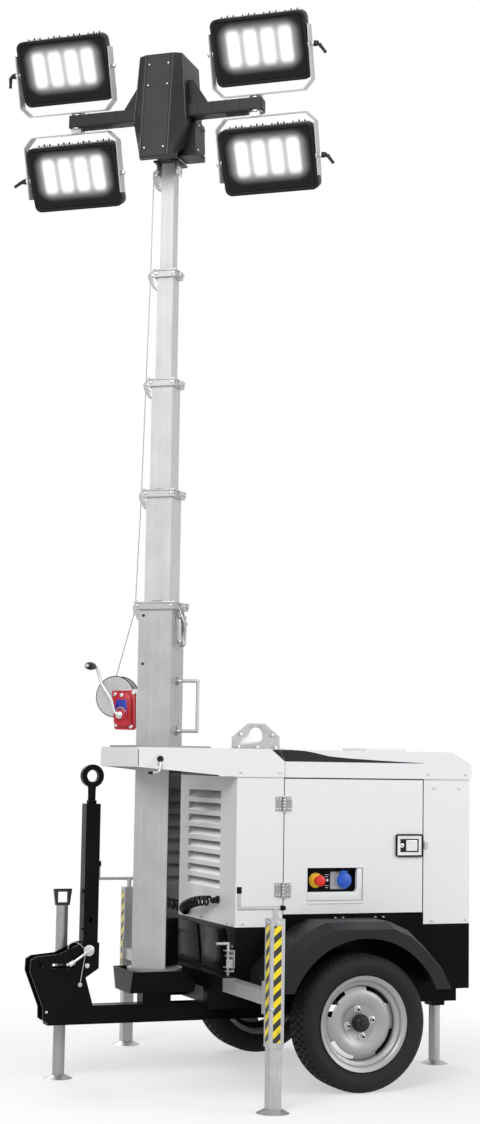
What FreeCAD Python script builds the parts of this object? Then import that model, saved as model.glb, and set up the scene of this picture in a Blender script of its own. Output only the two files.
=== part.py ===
import FreeCAD, Part
import Sketcher
import math
import os
import re
from FreeCAD import Placement, Rotation, Vector

# Towable light tower, parked on its legs with the mast part raised.
# Millimetres. +X points forward to the towing eye, +Y to the left side, +Z up.
# Places are given from the axle line; axle_x shifts that line so that the
# origin lies on the ground under the middle of the whole machine.

SIZES = {
    # wheels and axle
    "axle_x": -310.3, "axle_height": 264, "tyre_radius": 264, "tyre_width": 160,
    "wheel_middle": 535, "rim_radius": 183, "bead_radius": 165, "rim_wall": 4,
    "disc_place": 26, "hub_radius": 33, "hub_length": 42, "stud_circle": 49,
    "stud_radius": 9, "vent_radius": 26, "vent_circle": 139, "stub_radius": 15,
    "axle_tube": 60, "axle_lead": 110, "swing_arm_thick": 25, "axle_half": 400,
    # ladder frame below the body
    "rail_height": 64, "rail_width": 50, "rail_place": 230, "frame_top": 358,
    "frame_front": 520, "frame_rear": -582, "cross_width": 50,
    "cross_front": 415, "cross_middle": 150,
    # body sheet metal
    "body_front": 452, "body_rear": -582, "body_half": 366, "sheet": 3,
    "belt_height": 620, "door_sill": 663, "eave_height": 1207, "floor_sheet": 4,
    "door_front": 252, "door_rear": -371, "door_gap": 5, "door_depth": 25,
    "door_hang": 7, "hinge_radius": 6, "hinge_height": 62, "hinge_low": 763,
    "hinge_drop": 105, "leaf_width": 28,
    "window_front": 146, "window_rear": -98, "window_low": 719, "window_high": 849,
    # roof
    "fascia_height": 61, "bevel_height": 50, "bevel_inset": 58, "roof_lap": 6,
    "nose_front": 827, "nose_half": 246, "nose_rise": 33, "nose_inset": 8,
    "mast_hole_radius": 120,
    # louvres in the front wall
    "louvre_count": 8, "louvre_half": 190, "louvre_pitch": 51, "louvre_drop": 59,
    "louvre_height": 34, "louvre_depth": 24,
    # drawbar
    "bar_width": 70, "bar_height": 72, "bar_front": 1108, "bar_wall": 5,
    "cheek_thick": 8, "pivot_x": 950, "pivot_height": 512, "pivot_radius": 12,
    "arm_width": 60, "arm_wall": 5, "arm_drop": 34, "arm_top": 1089, "arm_back": 12,
    "eye_height": 1200, "eye_radius": 46, "eye_hole": 24, "eye_thick": 26,
    "shank_radius": 11, "running_gap": 0.3, "seat_gap": 0.3,
    # prop stands, front and rear
    "stand_radius": 24, "stand_wall": 3, "jack_x": 1026, "jack_side": 80,
    "jack_top": 680, "jack_loop": 66, "rear_leg_x": -613, "rear_leg_top": 560,
    "pad_radius": 58, "pad_height": 14, "clamp_wall": 8, "clamp_height": 62,
    "clamp_low": 246,
    # outriggers
    "beam_x": 488, "beam_width": 50, "beam_low": 380, "beam_wall": 4,
    "sleeve_width": 60, "sleeve_half": 400, "beam_inner": 290, "leg_side": 862,
    "leg_width": 56, "leg_wall": 4, "leg_low": 234, "leg_high": 696, "foot_gap": 0.4,
    "foot_wall": 3, "foot_top": 440, "foot_pad_radius": 62, "foot_pad_height": 16,
    "flange_thick": 6, "flange_width": 72, "flange_low": 350, "flange_high": 468,
    "crank_radius": 7, "crank_reach": 144, "crank_rise": 38, "crank_grip": 76,
    "pin_side": 350, "pin_top": 557,
    # mast
    "mast_x": 656, "mast_turn": 40, "mast_foot": 436, "collar_pitch": 466,
    "mast_size_1": 145, "mast_size_2": 112, "mast_size_3": 92, "mast_size_4": 71,
    "mast_size_5": 56, "mast_wall": 4, "mast_top": 1908, "section_length": 1480,
    "collar_height": 26, "collar_flange": 13, "slide_gap": 0.4,
    "cheek_reach": 46, "cheek_drop": 40, "cheek_spread": 9, "cheek_sheet": 5,
    "tray_front": 790, "tray_half": 130, "tray_low": 344, "tray_high": 430,
    "tray_sheet": 6, "tray_taper": 34, "bearing_radius": 112, "bearing_height": 12,
    "roof_plate_half": 165, "roof_plate_thick": 8,
    # winch on the mast foot section
    "drum_reach": 187, "drum_height": 1525, "drum_radius": 84, "drum_core": 30,
    "drum_half": 30, "drum_disc": 3, "gearbox_far": 228,
    "gearbox_below": 140, "gearbox_above": 28, "gearbox_depth": 24, "gearbox_face": 38,
    "crank_hub_reach": 175, "crank_below": 79, "winch_arm": 210,
    "winch_lean": 27, "winch_arm_width": 18, "winch_arm_thick": 6, "shaft_radius": 9, "winch_grip": 105,
    "winch_grip_radius": 15,
    "handle_low": 1387, "handle_high": 1591, "handle_reach": 92, "handle_radius": 7,
    "lock_low": 1738, "lock_high": 1858,
    # head and lamps
    "foot_drop": 227, "belly_drop": 51, "brow_rise": 235, "crown_rise": 10, "bar_rise": 198,
    "head_foot_front": 205, "head_brow_front": 152, "head_face_half": 60,
    "head_belly_half": 116, "head_brow_half": 94, "head_shoulder": 136, "head_back": 70,
    "head_keel": 175, "head_wall": 4, "bar_out": 68, "bar_inner": 96,
    "lamp_bar_width": 60, "lamp_bar_height": 54, "lamp_bar_half": 430, "lamp_place": 438,
    "gusset_out": 195, "gusset_rise": 112, "gusset_thick": 8, "head_box_out": 132,
    "box_drop": 183, "head_box_front": 60, "head_box_back": 50, "disc_radius": 30,
    "disc_thick": 5, "swivel_place": 400, "swivel_block": 44, "yoke_drop": 223, "yoke_lean": 17,
    "yoke_seat": 42, "yoke_over": 80, "yoke_width": 50, "yoke_plate": 5,
    "yoke_side": 216, "yoke_chamfer": 40, "lamp_half": 205, "lamp_height": 275,
    "lamp_front": 10, "lamp_back": 40, "lamp_round": 22, "fin_count": 12,
    "fin_depth": 48, "fin_reach": 118, "fin_thick": 4, "lamp_tilt": 27, "lens_depth": 5, "lens_rim": 14,
    "lever_out": 46, "lever_boss": 16, "stud_out": 8, "stud_shaft": 7, "lever_hub": 20, "lever_drop": 62,
    # fenders
    "fender_out": 622, "fender_crest": 552, "fender_bevel": 24, "fender_wall": 4,
    "arch_radius": 328, "fender_low": 390,
    # inside and controls
    "engine_front": 130, "engine_rear": -350, "engine_half": 230, "engine_high": 880,
    "panel_recess": 34, "panel_margin": 8, "stop_x": 92, "stop_height": 797,
    "inlet_x": -21, "inlet_height": 798,
    "eyeplate_x": 229, "eyeplate_half": 106, "eyeplate_top_half": 38,
    "eyeplate_height": 108, "eyeplate_hole": 29, "eyeplate_hole_up": 60,
    "eyeplate_thick": 10,
    "cable_radius": 18, "gland_radius": 22,
    "hatch_rear": -404, "hatch_front": -225, "hatch_half": 120, "hatch_thick": 12,
}

# Heights that follow from others.
TIED = {
    "nose_low": "eave_height + nose_rise",
    "louvre_top": "eave_height - louvre_drop",
    "hinge_high": "eave_height - hinge_drop",
    "gearbox_low": "drum_height - gearbox_below",
    "gearbox_high": "drum_height + gearbox_above",
    "crank_hub_height": "drum_height - crank_below",
    "bar_high": "mast_top + 4 * collar_pitch + bar_rise",
    "head_low": "bar_high - foot_drop",
    "head_belly": "bar_high - belly_drop",
    "head_brow": "bar_high + brow_rise",
    "head_high": "head_brow + crown_rise",
    "head_box_low": "bar_high - box_drop",
}

doc = FreeCAD.newDocument("LightTower")
sheet = doc.addObject("Spreadsheet::Sheet", "Sizes")
for line, (alias, amount) in enumerate(list(SIZES.items()) + list(TIED.items()), 1):
    sheet.set("A%d" % line, alias.replace("_", " "))
    sheet.set("B%d" % line, "=" + str(amount))
    sheet.setAlias("B%d" % line, alias)
doc.recompute()
PREFIX = dict.fromkeys(list(SIZES) + list(TIED), "Sizes.")


def size(alias):
    """A driving dimension, read from the sheet."""
    return float(sheet.get(alias))


def cells(words):
    """An expression in plain size names, with each name pointed at its cell."""
    return re.sub(r"[a-z]\w+", lambda found: PREFIX.get(found.group(), "") + found.group(), str(words))


def bind(piece, prop, words):
    piece.setExpression(prop, cells(words))


def place(piece, spot, local=False):
    """Put a piece at three expressions, from the axle line or, if local, as given."""
    x, y, z = spot
    bind(piece, "Placement.Base.x", x if local else "axle_x + %s" % x)
    bind(piece, "Placement.Base.y", y)
    bind(piece, "Placement.Base.z", z)


def block(name, lengths, spot, local=False):
    """Box by its three lengths and its lowest corner."""
    piece = doc.addObject("Part::Box", name)
    for prop, words in zip(("Length", "Width", "Height"), lengths):
        bind(piece, prop, words)
    place(piece, spot, local)
    return piece


def span(name, xs, ys, zs, local=False):
    """Box from its lower to its upper limit along each axis."""
    lengths = ["(%s) - (%s)" % (high, low) for low, high in (xs, ys, zs)]
    return block(name, lengths, ("(%s)" % xs[0], "(%s)" % ys[0], "(%s)" % zs[0]), local)


AXES = {"x": Vector(1, 0, 0), "y": Vector(0, 1, 0), "z": Vector(0, 0, 1)}


def rod(name, radius, length, spot, axis="z", local=False):
    """Round bar that starts at spot and runs along an axis."""
    piece = doc.addObject("Part::Cylinder", name)
    bind(piece, "Radius", radius)
    bind(piece, "Height", length)
    piece.Placement = Placement(Vector(), Rotation(Vector(0, 0, 1), AXES[axis]))
    place(piece, spot, local)
    return piece


def cone(name, low_radius, high_radius, height, spot, local=False):
    piece = doc.addObject("Part::Cone", name)
    bind(piece, "Radius1", low_radius)
    bind(piece, "Radius2", high_radius)
    bind(piece, "Height", height)
    place(piece, spot, local)
    return piece


def ball(name, radius, spot, local=False):
    piece = doc.addObject("Part::Sphere", name)
    bind(piece, "Radius", radius)
    place(piece, spot, local)
    return piece


def fuse(name, pieces):
    if len(pieces) == 1:
        return pieces[0]
    joined = doc.addObject("Part::MultiFuse", name)
    joined.Shapes = pieces
    joined.Refine = True
    return joined


def cut(name, base, tools):
    tool = tools[0] if len(tools) == 1 else fuse(name + "_tools", tools)
    rest = doc.addObject("Part::Cut", name)
    rest.Base = base
    rest.Tool = tool
    rest.Refine = True
    return rest


PLANES = {"XY": ("XY_Plane", False), "XZ": ("XZ_Plane", True), "YZ": ("YZ_Plane", False)}


def profile(name, plane, points, depth, spot, local=False):
    """Closed outline of bound points, padded by depth along the plane's axis.

    Each point is a pair of expressions. The outline starts at spot.
    """
    body = doc.addObject("PartDesign::Body", name)
    role, backwards = PLANES[plane]
    sketch = body.newObject("Sketcher::SketchObject", name + "_outline")
    origin = [item for item in body.Origin.OriginFeatures if item.Role == role][0]
    sketch.AttachmentSupport = [(origin, "")]
    sketch.MapMode = "FlatFace"
    count = len(points)
    ring = [Vector(100 * math.cos(2 * math.pi * k / count), 100 * math.sin(2 * math.pi * k / count), 0)
            for k in range(count)]
    for k in range(count):
        sketch.addGeometry(Part.LineSegment(ring[k], ring[(k + 1) % count]), False)
    for k in range(count):
        sketch.addConstraint(Sketcher.Constraint("Coincident", k, 2, (k + 1) % count, 1))
    for k, (across, up) in enumerate(points):
        for kind, words in (("DistanceX", across), ("DistanceY", up)):
            spot_now = ring[k].x if kind == "DistanceX" else ring[k].y
            index = sketch.addConstraint(Sketcher.Constraint(kind, -1, 1, k, 1, spot_now))
            sketch.setExpression("Constraints[%d]" % index, cells(words))
    pad = body.newObject("PartDesign::Pad", name + "_pad")
    pad.Profile = sketch
    pad.Reversed = backwards
    bind(pad, "Length", depth)
    place(body, spot, local)
    return body


nodes = []


def node(piece, label):
    """Name a finished sub-part; its file takes the same name."""
    piece.Label = label
    nodes.append(piece)
    return piece


def mast_frame(turned=True):
    """Placement of the mast: local +Y is the way the lamps face, local +X the winch side."""
    base = Vector(size("axle_x") + size("mast_x"), 0, 0)
    return Placement(base, Rotation(Vector(0, 0, -1), size("mast_turn")))


def mast_node(piece, label, inner=None):
    """A finished sub-part built in the mast's own frame, turned into the machine."""
    piece.Placement = mast_frame().multiply(inner or Placement())
    return node(piece, label)


SIDES = (("left", 1), ("right", -1))


def side_span(side, inner, outer):
    """Lower and upper Y limit of a stretch that lies outward on one side."""
    if side > 0:
        return (inner, outer)
    return ("-(%s)" % outer, "-(%s)" % inner)


# Ladder frame: two rails and three cross members of box tube, and the black
# sleeve across the front that both outrigger beams slide in.
rails = [span("rail_" + word, ("frame_rear", "frame_front"),
              side_span(side, "rail_place - rail_width / 2", "rail_place + rail_width / 2"),
              ("frame_top - rail_height", "frame_top")) for word, side in SIDES]
crosses = [span("cross_" + word, (start, start + " + cross_width"),
                ("-rail_place", "rail_place"), ("frame_top - rail_height", "frame_top"))
           for word, start in (("front", "cross_front"), ("middle", "cross_middle"),
                               ("rear", "frame_rear"))]
saddles = [span("saddle_" + word, ("beam_x - sleeve_width / 2", "frame_front"),
                side_span(side, "rail_place - rail_width / 2", "rail_place + rail_width / 2"),
                ("frame_top - 1", "beam_low")) for word, side in SIDES]
sleeve_outer = span("sleeve_outer", ("beam_x - sleeve_width / 2", "beam_x + sleeve_width / 2"),
                    ("-sleeve_half", "sleeve_half"),
                    ("beam_low - (sleeve_width - beam_width) / 2",
                     "beam_low + (sleeve_width + beam_width) / 2"))
sleeve_bore = span("sleeve_bore", ("beam_x - beam_width / 2 - slide_gap",
                                   "beam_x + beam_width / 2 + slide_gap"),
                   ("-sleeve_half - 1", "sleeve_half + 1"),
                   ("beam_low - slide_gap", "beam_low + beam_width + slide_gap"))
frame_solid = fuse("frame_solid", rails + crosses + saddles + [sleeve_outer])
node(cut("frame", frame_solid, [sleeve_bore]), "chassis_frame")

# Trailing-arm axle: a square beam under the rails, an arm at each end and a
# stub that the wheel turns on.
axle_pieces = [span("axle_tube_beam", ("axle_lead - axle_tube / 2", "axle_lead + axle_tube / 2"),
                    ("-axle_half", "axle_half"),
                    ("frame_top - rail_height - axle_tube", "frame_top - rail_height"))]
for word, side in SIDES:
    axle_pieces.append(span("swing_arm_" + word, ("-stub_radius - 10", "axle_lead + axle_tube / 2"),
                            side_span(side, "axle_half - 1", "axle_half + swing_arm_thick"),
                            ("axle_height - 25", "axle_height + 25")))
    y0 = "axle_half + 1" if side > 0 else "-(wheel_middle + disc_place + 6)"
    axle_pieces.append(rod("stub_" + word, "stub_radius", "wheel_middle + disc_place + 6 - axle_half - 1",
                           ("0", y0, "axle_height"), "y"))
node(fuse("axle", axle_pieces), "axle_beam")

# Drawbar tube below the mast, and the two cheeks at its nose that carry the
# folding arm and the prop stand.
bar_y = ("-bar_width / 2", "bar_width / 2")
bar_z = ("frame_top - rail_height - bar_height", "frame_top - rail_height")
bar_solid = span("bar_solid", ("cross_middle", "bar_front"), bar_y, bar_z)
bar_hollow = span("bar_hollow", ("cross_middle - 1", "bar_front - bar_wall"),
                  ("-bar_width / 2 + bar_wall", "bar_width / 2 - bar_wall"),
                  (bar_z[0] + " + bar_wall", bar_z[1] + " - bar_wall"))
node(cut("bar", bar_solid, [bar_hollow]), "drawbar_tube")

CHEEK = (("905", "440"), ("958", "405"), ("927", "298"), ("933", "233"), ("1111", "233"),
         ("1129", "245"), ("1130", "290"), ("1186", "432"), ("1184", "477"), ("1162", "490"),
         ("1067", "499"), ("995", "532"), ("975", "541"), ("905", "541"))
head_pieces = []
for word, side in SIDES:
    start = "bar_width / 2" if side > 0 else "-bar_width / 2 - cheek_thick"
    head_pieces.append(profile("cheek_" + word, "XZ", CHEEK, "cheek_thick", ("0", start, "0")))
head_pieces.append(span("head_web", ("bar_front", "bar_front + cheek_thick"), bar_y, ("236", "420")))
head_pieces.append(span("stand_clamp", ("jack_x - stand_radius - clamp_wall",
                                        "jack_x + stand_radius + clamp_wall"),
                        ("-jack_side - stand_radius - clamp_wall", "-bar_width / 2 - cheek_thick + 1"),
                        ("clamp_low + 60", "clamp_low + 60 + clamp_height")))
head_pieces.append(rod("pivot_bolt", "pivot_radius", "bar_width + 2 * cheek_thick + 24",
                       ("pivot_x", "-bar_width / 2 - cheek_thick - 12", "pivot_height"), "y"))
head_holes = [rod("stand_bore", "stand_radius + running_gap", "200", ("jack_x", "-jack_side",
                                                                      "clamp_low"), "z"),
              rod("lock_hole", "9", "200", ("1143", "-100", "457"), "y"),
              span("lock_slot", ("1003", "1096"), ("-100", "100"), ("444", "462"))]
node(cut("head", fuse("head_solid", head_pieces), head_holes), "drawbar_head")

# Folding arm, parked upright, with the towing eye on its threaded shank.
arm_x = ("pivot_x - arm_back - arm_width / 2", "pivot_x - arm_back + arm_width / 2")
arm_y = ("-arm_width / 2", "arm_width / 2")
arm_solid = span("arm_solid", arm_x, arm_y, ("pivot_height - arm_drop", "arm_top"))
arm_hollow = span("arm_hollow", (arm_x[0] + " + arm_wall", arm_x[1] + " - arm_wall"),
                  (arm_y[0] + " + arm_wall", arm_y[1] + " - arm_wall"),
                  ("pivot_height + 60", "arm_top - arm_wall"))
arm_bore = rod("arm_bore", "pivot_radius + running_gap", "arm_width + 2",
               ("pivot_x", "-arm_width / 2 - 1", "pivot_height"), "y")
arm_hole = rod("arm_hole", "9", "arm_width + 2",
               ("pivot_x - arm_back", "-arm_width / 2 - 1", "pivot_height + 116"), "y")
node(cut("arm", arm_solid, [arm_hollow, arm_bore, arm_hole]), "drawbar_arm")
eye_ring = cut("eye_ring", rod("eye_outer", "eye_radius", "eye_thick",
                               ("pivot_x - arm_back", "-eye_thick / 2", "eye_height"), "y"),
               [rod("eye_bore", "eye_hole", "eye_thick + 2",
                    ("pivot_x - arm_back", "-eye_thick / 2 - 1", "eye_height"), "y")])
eye_shank = rod("eye_shank", "shank_radius", "eye_height - eye_radius + 4 - arm_top",
                ("pivot_x - arm_back", "0", "arm_top"), "z")
eye_nut = rod("eye_nut", "shank_radius + 8", "14", ("pivot_x - arm_back", "0", "arm_top"), "z")
node(fuse("eye", [eye_ring, eye_shank, eye_nut]), "towing_eye")


def prop_stand(name, x, y, top, loop):
    """Round prop: tube with a domed foot plate and a loop handle on top."""
    pieces = [rod(name + "_tube", "stand_radius", "%s - pad_height" % top, (x, y, "pad_height")),
              cone(name + "_pad", "pad_radius", "stand_radius + 4", "pad_height", (x, y, "0"))]
    if loop:
        pieces.append(profile(name + "_loop", "XZ",
                              (("-stand_radius - 5", "0"), ("stand_radius + 5", "0"),
                               ("stand_radius + 14", loop), ("-stand_radius - 14", loop)),
                              "14", (x, "%s - 7" % y, top)))
    solid = fuse(name + "_solid", pieces)
    tools = [rod(name + "_inside", "stand_radius - stand_wall", "%s - pad_height - 20" % top,
                 (x, y, "pad_height + 10"))]
    if loop:
        tools.append(span(name + "_grip", (x + " - stand_radius + 4", x + " + stand_radius - 4"),
                          (y + " - 8", y + " + 8"), (top + " + 12", "%s + %s - 12" % (top, loop))))
    return cut(name, solid, tools)


node(prop_stand("front_stand", "jack_x", "-jack_side", "jack_top", "jack_loop"), "jack")
node(prop_stand("rear_stand", "rear_leg_x", "0", "rear_leg_top", ""), "rear_leg")
clamp_solid = span("rear_clamp_solid", ("rear_leg_x - stand_radius - clamp_wall", "frame_rear"),
                   ("-stand_radius - clamp_wall", "stand_radius + clamp_wall"),
                   ("clamp_low", "clamp_low + clamp_height"))
clamp_bore = rod("rear_clamp_bore", "stand_radius + running_gap", "200", ("rear_leg_x", "0",
                                                                          "clamp_low - 50"))
node(cut("rear_clamp", clamp_solid, [clamp_bore]), "rear_leg_clamp")

# Outriggers, one per side: a beam, its end flange and the upright leg tube
# are welded together; the foot slides in the leg under a crank.
LEG_Z = ("leg_low", "leg_high")
for word, side in SIDES:
    leg_y = side_span(side, "leg_side - leg_width / 2", "leg_side + leg_width / 2")
    beam = span("beam_" + word, ("beam_x - beam_width / 2", "beam_x + beam_width / 2"),
                side_span(side, "beam_inner", "leg_side - leg_width / 2 - flange_thick + 1"),
                ("beam_low", "beam_low + beam_width"))
    flange = span("flange_" + word, ("beam_x - flange_width / 2", "beam_x + flange_width / 2"),
                  side_span(side, "leg_side - leg_width / 2 - flange_thick", "leg_side - leg_width / 2 + 1"),
                  ("flange_low", "flange_high"))
    leg = span("leg_" + word, ("beam_x - leg_width / 2", "beam_x + leg_width / 2"), leg_y, LEG_Z)
    bore = span("leg_bore_" + word,
                ("beam_x - leg_width / 2 + leg_wall", "beam_x + leg_width / 2 - leg_wall"),
                side_span(side, "leg_side - leg_width / 2 + leg_wall", "leg_side + leg_width / 2 - leg_wall"),
                ("leg_low - 1", "leg_high - leg_wall"))
    beam_bore = span("beam_bore_" + word,
                     ("beam_x - beam_width / 2 + beam_wall", "beam_x + beam_width / 2 - beam_wall"),
                     side_span(side, "beam_inner - 1", "leg_side - leg_width / 2 - flange_thick - 30"),
                     ("beam_low + beam_wall", "beam_low + beam_width - beam_wall"))
    hollow = cut("hollow_leg_" + word, fuse("leg_solid_" + word, [beam, flange, leg]), [bore, beam_bore])
    crank_y = "leg_side" if side > 0 else "-leg_side"
    post = rod("crank_post_" + word, "crank_radius + 3", "crank_rise + 1", ("beam_x", crank_y,
                                                                            "leg_high - 1"))
    arm = rod("crank_arm_" + word, "crank_radius", "crank_reach + 30",
              ("beam_x - 30", crank_y, "leg_high + crank_rise"), "x")
    bend = ball("crank_bend_" + word, "crank_radius",
                ("beam_x + crank_reach", crank_y, "leg_high + crank_rise"))
    grip = rod("crank_grip_" + word, "crank_radius", "crank_grip",
               ("beam_x + crank_reach", crank_y, "leg_high + crank_rise"))
    node(fuse("outrigger_" + word, [hollow, post, arm, bend, grip]), "outrigger_" + word)
    foot_tube = span("foot_tube_" + word,
                     ("beam_x - leg_width / 2 + leg_wall + foot_gap",
                      "beam_x + leg_width / 2 - leg_wall - foot_gap"),
                     side_span(side, "leg_side - leg_width / 2 + leg_wall + foot_gap",
                               "leg_side + leg_width / 2 - leg_wall - foot_gap"),
                     ("foot_pad_height - 1", "foot_top"))
    foot_bore = span("foot_bore_" + word,
                     ("beam_x - leg_width / 2 + leg_wall + foot_gap + foot_wall",
                      "beam_x + leg_width / 2 - leg_wall - foot_gap - foot_wall"),
                     side_span(side, "leg_side - leg_width / 2 + leg_wall + foot_gap + foot_wall",
                               "leg_side + leg_width / 2 - leg_wall - foot_gap - foot_wall"),
                     ("foot_pad_height + 6", "foot_top + 1"))
    pad = cone("foot_pad_" + word, "foot_pad_radius", "leg_width / 2 + 2", "foot_pad_height",
               ("beam_x", crank_y, "0"))
    node(cut("foot_" + word, fuse("foot_solid_" + word, [foot_tube, pad]), [foot_bore]), "foot_" + word)
    # Spring pin with a bent handle, on the front wall above the sleeve end.
    pin_y = "pin_side" if side > 0 else "-pin_side"
    pin_x = "body_front + 20"
    pin_bits = [rod("pin_rod_" + word, "6", "pin_top - beam_low - (sleeve_width + beam_width) / 2",
                    (pin_x, pin_y, "beam_low + (sleeve_width + beam_width) / 2")),
                ball("pin_bend_" + word, "6", (pin_x, pin_y, "pin_top")),
                rod("pin_handle_" + word, "6", "52", (pin_x, pin_y, "pin_top"), "x")]
    for low in ("448", "508"):
        pin_bits.append(span("pin_lug_%s_%s" % (low, word), ("body_front", pin_x + " + 10"),
                             side_span(side, "pin_side - 12", "pin_side + 12"), (low, low + " + 5")))
    pin_bits.append(span("pin_back_" + word, ("body_front", "body_front + 4"),
                         side_span(side, "pin_side - 12", "pin_side + 12"), ("448", "513")))
    node(fuse("pin_" + word, pin_bits), "outrigger_pin_" + word)

# Wheels: moulded tyre and pressed steel rim with four vents round the dish.
for word, side in SIDES:
    half = size("tyre_width") / 2
    outer = size("tyre_radius")
    bead = size("bead_radius")
    rim = size("rim_radius")
    spot = Vector(size("axle_x"), side * size("wheel_middle"), size("axle_height"))
    facing = Rotation(Vector(0, 0, 1), Vector(0, side, 0))
    # Tyre section, from the inner bead round the tread to the outer bead.
    section = [(rim + 1, -half + 24), (rim + 14, -half + 10), (rim + 38, -half), (outer - 26, -half + 8),
               (outer - 8, -half + 20), (outer, -half + 36), (outer, half - 36), (outer - 8, half - 20),
               (outer - 26, half - 8), (rim + 38, half), (rim + 14, half - 10), (rim + 1, half - 24),
               (bead, half - 30), (bead, -half + 30)]
    wire = Part.makePolygon([Vector(r, 0, w) for r, w in section + section[:1]])
    tyre = doc.addObject("Part::Feature", "tyre_shape_" + word)
    tyre.Shape = Part.Face(wire).revolve(Vector(), Vector(0, 0, 1), 360)
    tyre.Placement = Placement(spot, facing)
    node(tyre, "tyre_" + word)
    wall = size("rim_wall")
    dish = size("disc_place")
    hub = size("hub_radius")
    well = bead - 14
    barrel = [(bead - 0.5, half - 29), (bead - 0.5, half - 24), (rim + 0.5, half - 22), (rim + 0.5,
                                                                                         half - 14),
              (bead - wall, half - 17), (bead - wall - 2, half - 31), (well - wall, half - 50),
              (well - wall, -half + 50), (bead - wall - 2, -half + 31), (bead - wall, -half + 17),
              (rim + 0.5, -half + 14), (rim + 0.5, -half + 22), (bead - 0.5, -half + 24),
              (bead - 0.5, -half + 29), (well, -half + 50), (well, half - 50)]
    ring = Part.Face(Part.makePolygon([Vector(r, 0, w) for r, w in barrel + barrel[:1]]))
    ring = ring.revolve(Vector(), Vector(0, 0, 1), 360)
    plate = [(size("stub_radius") + 0.3, dish - 16), (68, dish - 16), (80, dish), (118, dish + 6),
             (well - wall / 2, dish - 14), (well - wall / 2, dish - 14 - wall), (118, dish + 6 - wall),
             (82, dish - wall), (70, dish - 16 - wall), (size("stub_radius") + 0.3, dish - 16 - wall)]
    disc = Part.Face(Part.makePolygon([Vector(r, 0, w) for r, w in plate + plate[:1]]))
    disc = disc.revolve(Vector(), Vector(0, 0, 1), 360)
    for k in range(4):
        angle = math.radians(45 + 90 * k)
        middle = Vector(size("vent_circle") * math.cos(angle), size("vent_circle") * math.sin(angle), -half)
        disc = disc.cut(Part.makeCylinder(size("vent_radius"), 2 * half, middle))
    drum = Part.makeCylinder(80, 34, Vector(0, 0, dish - 16 - wall - 34))
    drum = drum.cut(Part.makeCylinder(size("stub_radius") + 0.3, 60, Vector(0, 0, dish - 16 - wall - 40)))
    cap = Part.makeCylinder(hub, size("hub_length"), Vector(0, 0, dish - 16))
    cap = cap.cut(Part.makeCylinder(size("stub_radius") + 0.3, 30, Vector(0, 0, dish - 17)))
    studs = []
    for k in range(4):
        angle = math.radians(90 * k)
        middle = Vector(size("stud_circle") * math.cos(angle), size("stud_circle") * math.sin(angle),
                        dish - 16)
        studs.append(Part.makeCylinder(size("stud_radius"), 14, middle))
    wheel = ring.multiFuse([disc, drum, cap] + studs).removeSplitter()
    rim_piece = doc.addObject("Part::Feature", "rim_shape_" + word)
    rim_piece.Shape = wheel
    rim_piece.Placement = Placement(spot, facing)
    node(rim_piece, "rim_" + word)

# Black lower body: a welded tray that closes the machine below the belt, with
# a raised strip under each door.
low_outer = span("low_outer", ("body_rear", "body_front"), ("-body_half", "body_half"), ("frame_top",
                                                                                         "belt_height"))
low_strip = span("low_strip", ("door_rear", "door_front"), ("-body_half", "body_half"),
                 ("belt_height - 1", "door_sill"))
low_inner = span("low_inner", ("body_rear + sheet", "body_front - sheet"),
                 ("-body_half + sheet", "body_half - sheet"), ("frame_top + floor_sheet", "door_sill + 1"))
node(cut("low", fuse("low_solid", [low_outer, low_strip]), [low_inner]), "lower_body")

# Fenders: straight moulding with a bevelled outer shoulder, a hanging skirt
# and a round arch over the tyre.
FENDER = ((-368, 0), (-332, 67), (-267, 138), (-195, 203), (-117, 236), (135, 236), (189, 213),
          (257, 168), (310, 108), (357, 60), (372, 0))


def fender_section(y, grow):
    """Outer outline of the fender at one side distance, grown outward."""
    low = size("fender_low")
    line = []
    for x, up in FENDER:
        reach = math.hypot(x, up + 126)
        scale = 1 + grow / reach
        tall = up * scale + (grow if up else 0) * 0.4
        line.append(Vector(x * scale, y, low + tall))
    return Part.makePolygon(line + line[:1])


for word, side in SIDES:
    out, crest, wall = size("fender_out"), size("fender_crest"), size("fender_wall")
    near = size("body_half")
    bevel = size("fender_bevel")
    solid = Part.makeLoft([fender_section(near, bevel), fender_section(crest, bevel), fender_section(out, 0)],
                          True, True)
    inside = Part.makeLoft([fender_section(near - 1, bevel - wall), fender_section(crest, bevel - wall),
                            fender_section(out - wall, -wall)], True, True)
    inside.translate(Vector(0, 0, -0.5))
    arch = Part.makeCylinder(size("arch_radius"), out, Vector(0, near - 10, size("axle_height")),
                             Vector(0, 1, 0))
    shell = solid.cut(inside).cut(arch)
    low = size("fender_low")
    shell = shell.cut(Part.makeBox(900, 400, 100, Vector(-450, near - 10, low - 100 + 0.0)))
    if side < 0:
        shell = shell.mirror(Vector(), Vector(0, 1, 0))
    fender = doc.addObject("Part::Feature", "fender_shape_" + word)
    fender.Shape = shell
    fender.Placement = Placement(Vector(size("axle_x"), 0, 0), Rotation())
    node(fender, "fender_" + word)

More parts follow.
